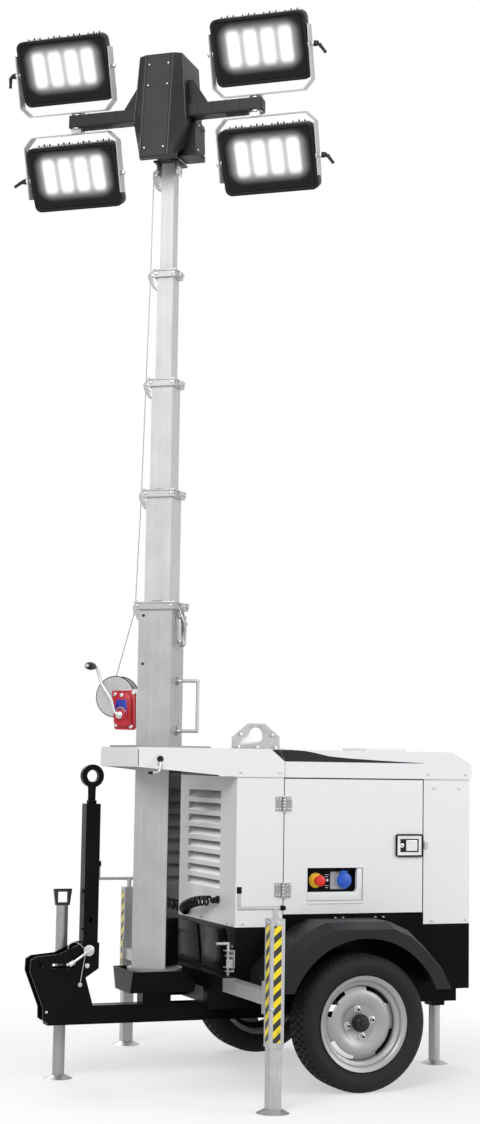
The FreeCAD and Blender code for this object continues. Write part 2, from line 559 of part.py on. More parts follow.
# White canopy, front: a folded U of sheet with pressed-in louvres. Each blade
# slopes inward to an open slit along its upper edge.
front_outer = span("front_outer", ("door_front", "body_front"), ("-body_half", "body_half"),
                   ("belt_height", "eave_height"))
front_inner = span("front_inner", ("door_front - 1", "body_front - sheet"),
                   ("-body_half + sheet", "body_half - sheet"), ("belt_height - 1", "eave_height + 1"))
louvre_cuts = []
louvre_blades = []
for k in range(int(size("louvre_count"))):
    high = "louvre_top - %d * louvre_pitch" % k
    low = high + " - louvre_height"
    louvre_cuts.append(span("louvre_cut_%d" % k, ("body_front - sheet - 1", "body_front + 1"),
                            ("-louvre_half", "louvre_half"), ("(%s)" % low, "(%s)" % high)))
    blade = (("body_front", low), ("body_front", low + " + 2"),
             ("body_front - louvre_depth", high + " - 3"), ("body_front - louvre_depth - 2", high + " - 3"),
             ("body_front - sheet", low))
    louvre_blades.append(profile("louvre_blade_%d" % k, "XZ", blade, "2 * louvre_half",
                                 ("0", "-louvre_half", "0")))
    for word, start in (("a", "-louvre_half"), ("b", "louvre_half - 2")):
        cheek = (("body_front", low), ("body_front", high), ("body_front - louvre_depth - 2", high),
                 ("body_front - louvre_depth - 2", high + " - 3"), ("body_front - sheet", low))
        louvre_blades.append(profile("louvre_end_%d%s" % (k, word), "XZ", cheek, "2", ("0", start, "0")))
front_wall = cut("front_wall", front_outer, [front_inner] + louvre_cuts)
node(fuse("front_canopy", [front_wall] + louvre_blades), "canopy_front")

rear_outer = span("rear_outer", ("body_rear", "door_rear"), ("-body_half", "body_half"),
                  ("belt_height", "eave_height"))
rear_inner = span("rear_inner", ("body_rear + sheet", "door_rear + 1"),
                  ("-body_half + sheet", "body_half - sheet"), ("belt_height - 1", "eave_height + 1"))
node(cut("rear_canopy", rear_outer, [rear_inner]), "canopy_rear")


# Roof: vertical fascia, bevel and flat top over the body, and a nose that
# tapers forward round the mast.
def roof_ring(x, half, low, mid, top, inset):
    """Cross-section of the roof at one place, from the left eave to the right."""
    points = [Vector(x, half, low), Vector(x, half, mid), Vector(x, half - inset, top),
              Vector(x, -half + inset, top), Vector(x, -half, mid), Vector(x, -half, low)]
    return Part.makePolygon(points + points[:1])


def roof_solid(shrink):
    """Main roof and nose, with every face moved in by shrink."""
    eave = size("eave_height")
    lap = size("roof_lap") - shrink
    mid = eave + size("fascia_height")
    top = mid + size("bevel_height") - shrink
    half = size("body_half") + lap
    rear, front = size("body_rear") - lap, size("body_front") + lap
    inset = size("bevel_inset")
    base = eave - (1 if shrink else 0)
    lower = Part.makeBox(front - rear, 2 * half, mid - base, Vector(rear, -half, base))
    upper = Part.makeLoft([
        Part.makePolygon([Vector(rear, -half, mid), Vector(front, -half, mid), Vector(front, half, mid),
                          Vector(rear, half, mid), Vector(rear, -half, mid)]),
        Part.makePolygon([Vector(rear + inset, -half + inset, top), Vector(front, -half + inset, top),
                          Vector(front, half - inset, top), Vector(rear + inset, half - inset, top),
                          Vector(rear + inset, -half + inset, top)])], True, True)
    tip = size("nose_front") - shrink
    tip_half = size("nose_half") - shrink
    tip_low = size("nose_low") - (1 if shrink else 0)
    nose = Part.makeLoft([
        roof_ring(front - 0.01, half, base, mid, top, inset),
        roof_ring(tip, tip_half, tip_low, top - size("nose_inset"), top, size("nose_inset"))], True, True)
    return lower.fuse(upper).fuse(nose).removeSplitter()


roof = doc.addObject("Part::Feature", "roof_shape")
mast_hole = Part.makeCylinder(size("mast_hole_radius"), 400,
                              Vector(size("mast_x"), 0, size("eave_height") - 107))
roof.Shape = roof_solid(0).cut(roof_solid(size("sheet"))).cut(mast_hole)
roof.Placement = Placement(Vector(size("axle_x"), 0, 0), Rotation())
node(roof, "canopy_roof")
ROOF_TOP = "eave_height + fascia_height + bevel_height"
plate_solid = span("plate_solid", ("mast_x - roof_plate_half", "mast_x + nose_front - mast_x - 12"),
                   ("-roof_plate_half", "roof_plate_half"), (ROOF_TOP, ROOF_TOP + " + roof_plate_thick"))
plate_hole = rod("plate_hole", "bearing_radius + running_gap", "100", ("mast_x", "0", ROOF_TOP + " - 20"))
node(cut("plate", plate_solid, [plate_hole]), "mast_plate")

EYEPLATE = (("-eyeplate_half", "0"), ("eyeplate_half", "0"), ("eyeplate_half", "18"),
            ("eyeplate_top_half + 8", "eyeplate_height - 24"), ("eyeplate_top_half - 14", "eyeplate_height"),
            ("-eyeplate_top_half + 14", "eyeplate_height"), ("-eyeplate_top_half - 8",
                                                             "eyeplate_height - 24"),
            ("-eyeplate_half", "18"))
eyeplate_blank = profile("eyeplate_blank", "XZ", EYEPLATE, "eyeplate_thick",
                         ("eyeplate_x", "-eyeplate_thick / 2", ROOF_TOP))
eyeplate_bore = rod("eyeplate_bore", "eyeplate_hole", "eyeplate_thick + 2",
                    ("eyeplate_x", "-eyeplate_thick / 2 - 1", ROOF_TOP + " + eyeplate_hole_up"), "y")
node(cut("eyeplate", eyeplate_blank, [eyeplate_bore]), "lifting_plate")

# Generator set as one block, and the socket panel behind the door window.
node(span("engine", ("engine_rear", "engine_front"), ("-engine_half", "engine_half"),
          ("frame_top + floor_sheet", "engine_high")), "engine_block")
node(span("panel", ("window_rear - panel_margin", "window_front + panel_margin"),
          ("engine_half", "body_half - panel_recess"),
          ("window_low - panel_margin", "window_high + panel_margin")), "control_panel")
stop_base = rod("stop_base", "22", "6", ("stop_x", "body_half - panel_recess", "stop_height"), "y")
stop_head = rod("stop_head", "15", "20", ("stop_x", "body_half - panel_recess", "stop_height"), "y")
node(fuse("stop", [stop_base, stop_head]), "emergency_stop")
inlet_solid = rod("inlet_solid", "31", "26", ("inlet_x", "body_half - panel_recess", "inlet_height"), "y")
inlet_bore = rod("inlet_bore", "25", "22", ("inlet_x", "body_half - panel_recess + 6", "inlet_height"), "y")
node(cut("inlet", inlet_solid, [inlet_bore]), "power_inlet")

# Doors: folded steel trays hung on two pin hinges at their front edge.
for word, side in SIDES:
    skin = span("door_skin_" + word, ("door_rear + door_gap", "door_front - door_gap"),
                side_span(side, "body_half - door_depth", "body_half"),
                ("door_sill + door_gap", "eave_height - door_gap"))
    inner = span("door_inner_" + word, ("door_rear + door_gap + sheet", "door_front - door_gap - sheet"),
                 side_span(side, "body_half - door_depth - 1", "body_half - sheet"),
                 ("door_sill + door_gap + sheet", "eave_height - door_gap - sheet"))
    tools = [inner]
    if side > 0:
        tools.append(span("door_window", ("window_rear", "window_front"), ("body_half - 60", "body_half + 5"),
                          ("window_low", "window_high")))
    knuckles = []
    for height in ("hinge_low", "hinge_high"):
        knuckles.append(rod("knuckle_%s_%s" % (height, word), "hinge_radius", "hinge_height",
                            ("door_front", "%s(body_half + door_hang)" % ("" if side > 0 else "-"),
                             "%s - hinge_height / 2" % height)))
        knuckles.append(span("leaf_%s_%s" % (height, word), ("door_front - leaf_width", "door_front"),
                             side_span(side, "body_half - 0.5", "body_half + 4"),
                             ("%s - hinge_height / 2" % height, "%s + hinge_height / 2" % height)))
        knuckles.append(span("neck_%s_%s" % (height, word), ("door_front - 8", "door_front"),
                             side_span(side, "body_half + 1", "body_half + door_hang"),
                             ("%s - hinge_height / 2" % height, "%s + hinge_height / 2" % height)))
    tray = cut("door_tray_" + word, skin, tools)
    node(fuse("door_" + word, [tray] + knuckles), "door_" + word)

# Mast foot: black tray at the drawbar, white bearing ring, and the five
# telescoping square sections, each with a collar and pulley cheeks on top.
TRAY = (("-tray_half", "tray_high"), ("tray_half", "tray_high"), ("tray_half - tray_taper", "tray_low"),
        ("-tray_half + tray_taper", "tray_low"))
tray_block = profile("tray_block", "YZ", TRAY, "tray_front - beam_x - sleeve_width / 2",
                     ("beam_x + sleeve_width / 2", "0", "0"))
TRAY_IN = (("-tray_half + tray_sheet", "tray_high + 1"), ("tray_half - tray_sheet", "tray_high + 1"),
           ("tray_half - tray_taper - tray_sheet", "tray_low + tray_sheet"),
           ("-tray_half + tray_taper + tray_sheet", "tray_low + tray_sheet"))
tray_inside = profile("tray_inside", "YZ", TRAY_IN, "tray_front - tray_sheet - beam_x",
                      ("beam_x", "0", "0"))
tray_post = span("tray_post", ("mast_x - 60", "mast_x + 60"), bar_y,
                 ("frame_top - rail_height", "tray_low + 1"))
tray_core = rod("tray_core", "70", "mast_foot - bearing_height - tray_low", ("mast_x", "0", "tray_low"))
node(fuse("tray", [cut("tray_shell", tray_block, [tray_inside]), tray_post, tray_core]), "mast_tray")
node(rod("bearing", "bearing_radius", "bearing_height - seat_gap", ("mast_x", "0",
                                                                    "mast_foot - bearing_height")),
     "mast_bearing")

for k in range(1, 6):
    outer = "mast_size_%d" % k
    top = "mast_top + %d * collar_pitch" % (k - 1)
    foot = "mast_foot" if k == 1 else top + " - section_length"
    name = "section_%d" % k
    tube = span(name + "_tube", ("-%s / 2" % outer, outer + " / 2"), ("-%s / 2" % outer, outer + " / 2"),
                (foot, top), True)
    bore_z = (foot + " + 8" if k == 1 else foot + " - 1", top + " + 1")
    bore = span(name + "_bore", ("-%s / 2 + mast_wall" % outer, outer + " / 2 - mast_wall"),
                ("-%s / 2 + mast_wall" % outer, outer + " / 2 - mast_wall"), bore_z, True)
    pieces = [cut(name + "_hollow", tube, [bore])]
    if k < 5:
        inner = "mast_size_%d" % (k + 1)
        reach = "%s / 2 + collar_flange" % outer
        ring = span(name + "_ring", ("-%s" % reach.replace(" +", " -", 1), reach),
                    ("-%s" % reach.replace(" +", " -", 1), reach),
                    (top + " - collar_height", top), True)
        lip = span(name + "_lip", ("-%s / 2 - slide_gap" % inner, inner + " / 2 + slide_gap"),
                   ("-%s / 2 - slide_gap" % inner, inner + " / 2 + slide_gap"),
                   (top + " - collar_height - 10", top + " + 1"), True)
        cap = cut(name + "_cap", ring, [lip])
        pieces.append(cap)
        for mark, near in (("a", "-cheek_spread - cheek_sheet"), ("b", "cheek_spread")):
            pieces.append(profile(name + "_cheek_" + mark, "XZ",
                                  (("%s / 2 - 1" % outer, top + " - cheek_drop"),
                                   ("%s / 2 + cheek_reach - 12" % outer, top + " - cheek_drop + 4"),
                                   ("%s / 2 + cheek_reach" % outer, top + " - 20"),
                                   ("%s / 2 + cheek_reach - 8" % outer, top + " + 4"),
                                   ("%s / 2 - 1" % outer, top + " + 4")),
                                  "cheek_sheet", ("0", near, "0"), True))
    if k == 1:
        pieces.append(cut("roof_ring_disc",
                          rod("roof_ring_solid", "bearing_radius", "roof_plate_thick",
                              ("0", "0", ROOF_TOP), "z", True),
                          [span("roof_ring_bore", ("-mast_size_1 / 2 + 1", "mast_size_1 / 2 - 1"),
                                ("-mast_size_1 / 2 + 1", "mast_size_1 / 2 - 1"),
                                (ROOF_TOP + " - 1", ROOF_TOP + " + roof_plate_thick + 1"), True)]))
    mast_node(fuse(name, pieces), "mast_section_%d" % k)

# Hand winch on the winch side of the mast foot section.
winch_bits = [span("winch_base", ("mast_size_1 / 2", "mast_size_1 / 2 + 6"), ("-62", "62"),
                   ("gearbox_low", "gearbox_high + 60"), True),
              span("gearbox", ("mast_size_1 / 2 + 5", "gearbox_far"),
                   ("gearbox_face", "gearbox_face + gearbox_depth"), ("gearbox_low", "gearbox_high"), True),
              span("winch_back", ("mast_size_1 / 2 + 5", "gearbox_far"), ("-gearbox_face - 5",
                                                                          "-gearbox_face"),
                   ("gearbox_low", "gearbox_high"), True),
              span("winch_tie", ("mast_size_1 / 2 + 5", "gearbox_far"), ("-gearbox_face - 1",
                                                                         "gearbox_face + 1"),
                   ("gearbox_low", "gearbox_low + 6"), True)]
shaft_hole = rod("shaft_hole", "shaft_radius + running_gap", "200", ("drum_reach", "-100",
                                                                     "drum_height"), "y", True)
hub_hole = rod("hub_hole", "shaft_radius + running_gap", "60", ("crank_hub_reach", "gearbox_face + 4",
                                                                "crank_hub_height"),
               "y", True)
mast_node(cut("winch", fuse("winch_solid", winch_bits), [shaft_hole, hub_hole]), "winch_frame")
drum_bits = [rod("drum_core_bar", "drum_core", "2 * drum_half", ("drum_reach", "-drum_half", "drum_height"),
                 "y", True),
             rod("drum_shaft", "shaft_radius", "2 * (gearbox_face + 5)",
                 ("drum_reach", "-gearbox_face - 5", "drum_height"), "y", True)]
for word, start in (("near", "drum_half - drum_disc"), ("far", "-drum_half")):
    drum_bits.append(rod("drum_disc_" + word, "drum_radius", "drum_disc", ("drum_reach", start,
                                                                           "drum_height"),
                         "y", True))
mast_node(fuse("drum", drum_bits), "winch_drum")

HUB_FACE = "gearbox_face + gearbox_depth"
crank_arm = doc.addObject("Part::Box", "crank_arm_bar")
bind(crank_arm, "Length", "winch_arm_width")
bind(crank_arm, "Width", "winch_arm_thick")
bind(crank_arm, "Height", "winch_arm")
lean = math.radians(size("winch_lean"))
crank_arm.Placement = Placement(Vector(0, size("gearbox_face") + size("gearbox_depth") + 12,
                                       size("crank_hub_height")),
                                Rotation(Vector(0, 1, 0), size("winch_lean")))
bind(crank_arm, "Placement.Base.x", "crank_hub_reach - winch_arm_width / 2 * cos(winch_lean * 1deg)")
grip_spot = ("crank_hub_reach + winch_arm * sin(winch_lean * 1deg)", HUB_FACE + " + 12",
             "crank_hub_height + winch_arm * cos(winch_lean * 1deg)")
crank_bits = [rod("crank_shaft", "shaft_radius", "gearbox_depth + 8",
                  ("crank_hub_reach", "gearbox_face + 6", "crank_hub_height"), "y", True),
              rod("crank_boss", "15", "16", ("crank_hub_reach", HUB_FACE + " + 1", "crank_hub_height"),
                  "y", True),
              crank_arm,
              rod("grip_pin", "6", "winch_grip", grip_spot, "y", True),
              rod("grip_knob", "winch_grip_radius", "winch_grip - 24",
                  (grip_spot[0], grip_spot[1] + " + 18", grip_spot[2]), "y", True)]
mast_node(fuse("winch_handle", crank_bits), "winch_crank")

# Tubular turning handle on the other side of the mast, with its bolt plates.
handle_bits = []
for word, height in (("low", "handle_low"), ("high", "handle_high")):
    handle_bits.append(rod("handle_arm_" + word, "handle_radius", "handle_reach",
                           ("-mast_size_1 / 2 - handle_reach", "0", height), "x", True))
    handle_bits.append(rod("handle_flange_" + word, "18", "5", ("-mast_size_1 / 2 - 5", "0", height),
                           "x", True))
    handle_bits.append(ball("handle_bend_" + word, "handle_radius",
                            ("-mast_size_1 / 2 - handle_reach", "0", height), True))
handle_bits.append(rod("handle_grip", "handle_radius", "handle_high - handle_low",
                       ("-mast_size_1 / 2 - handle_reach", "0", "handle_low"), "z", True))
mast_node(fuse("handle", handle_bits), "mast_handle")
mast_node(fuse("lock", [
    span("lock_plate", ("-mast_size_1 / 2 - 6", "-mast_size_1 / 2"), ("-22", "22"), ("lock_low",
                                                                                     "lock_high"), True),
    span("lock_block", ("-mast_size_1 / 2 - 26", "-mast_size_1 / 2 - 5"), ("-14", "14"),
         ("lock_high - 52", "lock_high - 8"), True),
    rod("lock_lever", "8", "lock_high - lock_low - 20", ("-mast_size_1 / 2 - 30", "0", "lock_low"), "z",
        True),
    rod("lock_bolt", "7", "34", ("-mast_size_1 / 2 - 40", "0", "lock_high - 34"), "x", True)]), "mast_lock")

# Head of the mast: faceted cover whose face leans forward at its foot, the
# two lamp bars with their gussets, and a base plate on the last section.
HEAD_FOOT = "mast_top + 4 * collar_pitch + seat_gap"


def head_ring(height, face, face_half, outer, outer_half, back, shrink):
    """Six-sided level section of the cover, moved in by shrink."""
    half = [(face_half - shrink / 2, face - shrink), (outer_half - shrink, outer - shrink / 2),
            (outer_half - shrink, back + shrink)]
    ring = [Vector(x, y, height) for x, y in half] + [Vector(-x, y, height) for x, y in reversed(half)]
    return Part.makePolygon(ring + ring[:1])


def head_cover(shrink):
    face = size("head_face_half")
    low, high = size("head_low") + shrink, size("head_high") - shrink
    keel, back = size("head_keel"), -size("head_back")
    lean = (size("head_foot_front") - size("head_brow_front")) / (size("head_brow") - size("head_low"))
    belly_front = size("head_foot_front") - lean * (size("head_belly") - size("head_low"))
    rings = [head_ring(low, size("head_foot_front"), face, size("head_foot_front") - 15, face + 4, keel,
                       shrink),
             head_ring(size("head_belly"), belly_front, face, size("head_shoulder"),
                       size("head_belly_half"), back,
                       shrink),
             head_ring(size("head_brow"), size("head_brow_front"), face, size("head_shoulder"),
                       size("head_brow_half"), back, shrink),
             head_ring(high, size("head_brow_front") - 30, face - 12, size("head_shoulder") - 30,
                       size("head_brow_half") - 24, back + 12, shrink)]
    return Part.makeLoft(rings, True, True)


cover = doc.addObject("Part::Feature", "cover_shell")
cover.Shape = head_cover(0).cut(head_cover(size("head_wall")))
head_bits = [cover,
             span("head_foot", ("-56", "56"), ("-56", "56"), (HEAD_FOOT, HEAD_FOOT + " + 8"), True),
             span("head_core", ("-28", "28"), ("-28", "bar_out + lamp_bar_width / 2"), (HEAD_FOOT,
                                                                                        "bar_high"), True),
             span("lamp_bar", ("-lamp_bar_half", "lamp_bar_half"),
                  ("bar_out - lamp_bar_width / 2", "bar_out + lamp_bar_width / 2"),
                  ("bar_high - lamp_bar_height / 2", "bar_high + lamp_bar_height / 2"), True)]
for word, m in (("front", ""), ("rear", "-")):
    GUSSET = (("%sbar_inner" % m, "-1"), ("%sgusset_out" % m, "-1"),
              ("%s(head_belly_half + 6)" % m, "gusset_rise"), ("%sbar_inner" % m, "gusset_rise"))
    head_bits.append(profile("gusset_" + word, "XZ", GUSSET, "gusset_thick",
                             ("0", "bar_out - gusset_thick / 2", "bar_high + lamp_bar_height / 2"), True))
mast_node(fuse("cover", head_bits), "mast_head")
BOX = (("-head_belly_half + 30", "bar_high - lamp_bar_height / 2 - seat_gap"),
       ("-head_box_out", "bar_high - lamp_bar_height / 2 - seat_gap"),
       ("-head_box_out - 6", "head_box_low"), ("-head_face_half + 10", "head_box_low"))
box_room = doc.addObject("Part::Feature", "box_room")
box_room.Shape = head_cover(-size("seat_gap"))
mast_node(cut("head_box_shape", profile("head_box_solid", "XZ", BOX, "head_box_front + head_box_back",
                                        ("0", "-head_box_back", "0"), True), [box_room]), "head_box")


def rounded(name, xs, ys, zs, radius):
    """Box with its four edges along Y rounded."""
    base = span(name + "_box", xs, ys, zs, True)
    doc.recompute()
    edges = [k + 1 for k, edge in enumerate(base.Shape.Edges) if abs(edge.tangentAt(0).y) > 0.9]
    soft = doc.addObject("Part::Fillet", name)
    soft.Base = base
    soft.Edges = [(k, radius, radius) for k in edges]
    return soft


# Flood lamps: a galvanised yoke on a swivel disc of the bar, leaning forward
# above it and back below it, and a finned housing that tilts between the
# yoke's arms, clamped by a lever.
LAMPS = (("front_upper", 1, 1), ("front_lower", 1, -1), ("rear_upper", -1, 1), ("rear_lower", -1, -1))
SLOPE = "(yoke_seat + 1 %s swivel_block / 2 * sin(yoke_lean)) / cos(yoke_lean)"
lean = size("yoke_lean")
for word, along, up in LAMPS:
    sign = "" if along > 0 else "-"
    inner_x = "%s(swivel_place - lamp_place)" % sign
    seat = Vector(along * size("lamp_place"), size("bar_out"), size("bar_high"))
    disc = rod("disc_" + word, "disc_radius", "disc_thick - seat_gap",
               (inner_x, "0", "lamp_bar_height / 2 + seat_gap"), "z", True)
    wedge = profile("swivel_block_" + word, "YZ",
                    (("-swivel_block / 2", "lamp_bar_height / 2 + disc_thick - 1"),
                     ("swivel_block / 2", "lamp_bar_height / 2 + disc_thick - 1"),
                     ("swivel_block / 2", SLOPE % "-"), ("-swivel_block / 2", SLOPE % "+")),
                    "swivel_block", (inner_x + " - swivel_block / 2", "0", "0"), True)
    plates = [span("yoke_base_" + word, ("-yoke_side + yoke_chamfer", "yoke_side - yoke_chamfer"),
                   ("-yoke_width / 2", "yoke_width / 2"), ("yoke_seat", "yoke_seat + yoke_plate"), True)]
    for mark, m in (("a", "-"), ("b", "")):
        plates.append(profile("yoke_arm_%s_%s" % (mark, word), "XZ",
                              (("%s(yoke_side - yoke_chamfer)" % m, "yoke_seat"),
                               ("%syoke_side" % m, "yoke_seat + yoke_chamfer"),
                               ("%syoke_side" % m, "yoke_drop + yoke_over"),
                               ("%s(yoke_side - yoke_plate)" % m, "yoke_drop + yoke_over"),
                               ("%s(yoke_side - yoke_plate)" % m, "yoke_seat + yoke_chamfer + 2"),
                               ("%s(yoke_side - yoke_chamfer - 2)" % m, "yoke_seat + yoke_plate")),
                              "yoke_width", ("0", "-yoke_width / 2", "0"), True))
    bore = rod("yoke_bore_" + word, "stud_shaft + running_gap", "2 * yoke_side + 2",
               ("-yoke_side - 1", "0", "yoke_drop"), "x", True)
    frame = cut("yoke_frame_" + word, fuse("yoke_solid_" + word, plates), [bore])
    frame.Placement = Placement(Vector(), Rotation(Vector(1, 0, 0), -lean))
    flip = Rotation(Vector(1, 0, 0), 0 if up > 0 else 180)
    mast_node(fuse("yoke_shape_" + word, [disc, wedge, frame]), "yoke_" + word, Placement(seat, flip))
    half = ("-lamp_half", "lamp_half")
    body = rounded("lamp_body_" + word, half, ("-lamp_back", "lamp_front"), ("-lamp_height / 2",
                                                                             "lamp_height / 2"),
                   size("lamp_round"))
    recess = rounded("lamp_recess_" + word, ("-lamp_half + lens_rim", "lamp_half - lens_rim"),
                     ("lamp_front - lens_depth", "lamp_front + 1"),
                     ("-lamp_height / 2 + lens_rim", "lamp_height / 2 - lens_rim"), size("lamp_round") / 2)
    bits = [cut("lamp_dish_" + word, body, [recess])]
    pitch = "2 * (lamp_half - lamp_round) / (fin_count - 1)"
    for k in range(int(size("fin_count"))):
        middle = "-lamp_half + lamp_round + %d * %s" % (k, pitch)
        bits.append(span("fin_%d_%s" % (k, word), (middle + " - fin_thick / 2", middle + " + fin_thick / 2"),
                         ("-lamp_back - fin_depth", "-lamp_back + 1"),
                         ("-fin_reach", "fin_reach"), True))
    for mark, start in (("a", "-yoke_side - stud_out"), ("b", "lamp_half - 3")):
        bits.append(rod("lamp_stud_%s_%s" % (mark, word), "stud_shaft",
                        "yoke_side + stud_out - lamp_half + 3",
                        (start, "0", "0"), "x", True))
    bits.append(rod("lever_hub_" + word, "lever_hub", "lever_boss - seat_gap",
                    ("yoke_side + seat_gap" if along > 0 else "-yoke_side - lever_boss", "0", "0"), "x",
                    True))
    bits.append(rod("lever_arm_" + word, "stud_shaft", "lever_out",
                    ("yoke_side + stud_out" if along > 0 else "-yoke_side - stud_out - lever_out", "0", "0"),
                    "x", True))
    bits.append(rod("lever_grip_" + word, "stud_shaft + 1", "lever_drop",
                    ("%s(yoke_side + stud_out + lever_out)" % sign, "0", "-lever_drop"), "z", True))
    yoke_way = Vector(0, math.sin(math.radians(lean)), math.cos(math.radians(lean)))
    pivot = seat + yoke_way * up * size("yoke_drop")
    tilt = Rotation(Vector(1, 0, 0), -size("lamp_tilt"))
    mast_node(fuse("lamp_shape_" + word, bits), "lamp_" + word, Placement(pivot, tilt))

# Curled power lead between two glands on the front wall, drawn as a round
# bar of its outer diameter: straight runs joined by tangent arcs.
LEAD = ((472, 150, 708), (502, 100, 698), (519, 38, 682), (519, -32, 666), (502, -92, 655), (472, -144, 649))


def soft_path(points):
    """Wire through a route's runs, each corner rounded as far as its runs allow."""
    spots = [Vector(*point) for point in points]
    edges, radii, last = [], [], spots[0]
    for before, corner, after in zip(spots, spots[1:], spots[2:]):
        back, on = before - corner, after - corner
        turn = math.pi - back.getAngle(on)
        reach = 0.45 * min(back.Length, on.Length)
        radius = reach / math.tan(turn / 2)
        back.normalize()
        on.normalize()
        enter, leave = corner + back * reach, corner + on * reach
        bisector = (back + on).normalize()
        crown = corner + bisector * (radius / math.cos(turn / 2) - radius)
        edges.append(Part.LineSegment(last, enter).toShape())
        edges.append(Part.Arc(enter, crown, leave).toShape())
        radii.append(radius)
        last = leave
    edges.append(Part.LineSegment(last, spots[-1]).toShape())
    return Part.Wire(edges), radii


lead_r = size("cable_radius")
line, radii = soft_path(LEAD)
first, final = Vector(*LEAD[0]), Vector(*LEAD[-1])
way_in = (Vector(*LEAD[1]) - first).normalize()
way_out = (Vector(*LEAD[-2]) - final).normalize()
ring = Part.Wire([Part.makeCircle(lead_r, first, way_in)])
lead = doc.addObject("Part::Feature", "lead_shape")
lead.Shape = line.makePipeShell([ring], True, True)
lead.Placement = Placement(Vector(size("axle_x"), 0, 0), Rotation())
node(lead, "curled_lead")
share = lead.Shape.Volume / (math.pi * lead_r ** 2 * line.Length)
print("curled lead: length %.1f, volume share %.4f, radii %s, diameter %.0f" % (
    line.Length, share, " ".join("%.0f" % radius for radius in radii), 2 * lead_r))
for word, end, way in (("left", first, way_in), ("right", final, way_out)):
    boot = Part.makeCylinder(size("gland_radius"), 80, end - way * (80 + size("seat_gap")), way)
    wall = Part.makeBox(200, 400, 400, Vector(size("body_front"), end.y - 200, end.z - 200))
    gland = doc.addObject("Part::Feature", "gland_shape_" + word)
    gland.Shape = boot.common(wall)
    gland.Placement = Placement(Vector(size("axle_x"), 0, 0), Rotation())
    node(gland, "cable_gland_" + word)

# Hatch in the roof over the engine.
node(span("hatch", ("hatch_rear", "hatch_front"), ("-hatch_half", "hatch_half"),
          (ROOF_TOP + " + seat_gap", ROOF_TOP + " + seat_gap + hatch_thick")), "roof_hatch")

doc.recompute()
for item in doc.Objects:
    if "Invalid" in item.State or "Error" in item.State:
        raise RuntimeError("bad object %s: %s" % (item.Name, item.State))
    if hasattr(item, "Shape") and (item.Shape.isNull() or not item.Shape.isValid()):
        raise RuntimeError("bad shape %s" % item.Name)
os.makedirs("parts", exist_ok=True)
whole = FreeCAD.BoundBox()
for piece in nodes:
    solids = len(piece.Shape.Solids)
    if solids != 1:
        print("NOTE %s has %d solids" % (piece.Label, solids))
    whole.add(piece.Shape.BoundBox)
    piece.Shape.exportStep("parts/%s.step" % piece.Label)
print("%d sub-parts, X %.2f %.2f Y %.2f %.2f Z %.2f %.2f" % (
    len(nodes), whole.XMin, whole.XMax, whole.YMin, whole.YMax, whole.ZMin, whole.ZMax))
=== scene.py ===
import bpy
import bmesh
import math
from mathutils import Matrix, Vector


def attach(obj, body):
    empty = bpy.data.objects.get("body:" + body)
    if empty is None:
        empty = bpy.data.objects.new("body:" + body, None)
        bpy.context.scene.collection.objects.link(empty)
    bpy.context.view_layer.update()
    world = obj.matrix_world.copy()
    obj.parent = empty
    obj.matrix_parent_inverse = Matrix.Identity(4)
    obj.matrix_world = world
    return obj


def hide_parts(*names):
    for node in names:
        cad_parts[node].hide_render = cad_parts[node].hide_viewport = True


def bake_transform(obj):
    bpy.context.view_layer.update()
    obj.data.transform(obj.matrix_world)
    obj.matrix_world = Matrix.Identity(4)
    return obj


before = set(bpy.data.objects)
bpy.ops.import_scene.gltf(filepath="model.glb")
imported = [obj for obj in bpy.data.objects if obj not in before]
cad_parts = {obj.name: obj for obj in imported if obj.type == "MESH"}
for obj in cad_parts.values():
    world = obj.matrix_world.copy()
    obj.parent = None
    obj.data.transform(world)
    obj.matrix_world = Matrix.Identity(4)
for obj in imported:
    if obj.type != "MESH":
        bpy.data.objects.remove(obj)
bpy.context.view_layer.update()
AXLE = -0.3103   # where the axle line is along X from the machine's middle, in metres


def spot(x, y, z):
    """A place given in millimetres from the axle line, in metres."""
    return Vector((x / 1000 + AXLE, y / 1000, z / 1000))


# Studio: a pale floor that turns to plain white paper away from the machine,
# three soft lamps and a low sky, and a camera at eye level left of the front.
def wired(tree, kind, plugs=None, **settings):
    """Add a shader node; each plug takes a value, or the outlet that feeds it."""
    node = tree.nodes.new("ShaderNode" + kind)
    for word, value in settings.items():
        setattr(node, word, value)
    for plug, value in (plugs or {}).items():
        if isinstance(value, bpy.types.NodeSocket):
            tree.links.new(value, node.inputs[plug])
        else:
            node.inputs[plug].default_value = value
    return node


def sums(tree, kind, *values):
    """One arithmetic step of a pattern."""
    return wired(tree, "Math", dict(enumerate(values)), operation=kind).outputs[0]


def ramp(tree, value, low, high, start=0.0, end=1.0):
    """Start below low, end above high, eased between them."""
    plugs = {"Value": value, "From Min": low, "From Max": high, "To Min": start, "To Max": end}
    return wired(tree, "MapRange", plugs, interpolation_type="SMOOTHSTEP").outputs["Result"]


def two_tone(tree, share, first, second, way="MIX"):
    """Two colours laid over each other by a share."""
    return wired(tree, "Mix", {"Factor": share, "A": first, "B": second}, data_type="RGBA",
                 blend_type=way).outputs["Result"]


def put(name, data):
    """New object in the scene for a mesh, a curve, a lamp or a camera."""
    thing = bpy.data.objects.new(name, data)
    bpy.context.collection.objects.link(thing)
    return thing


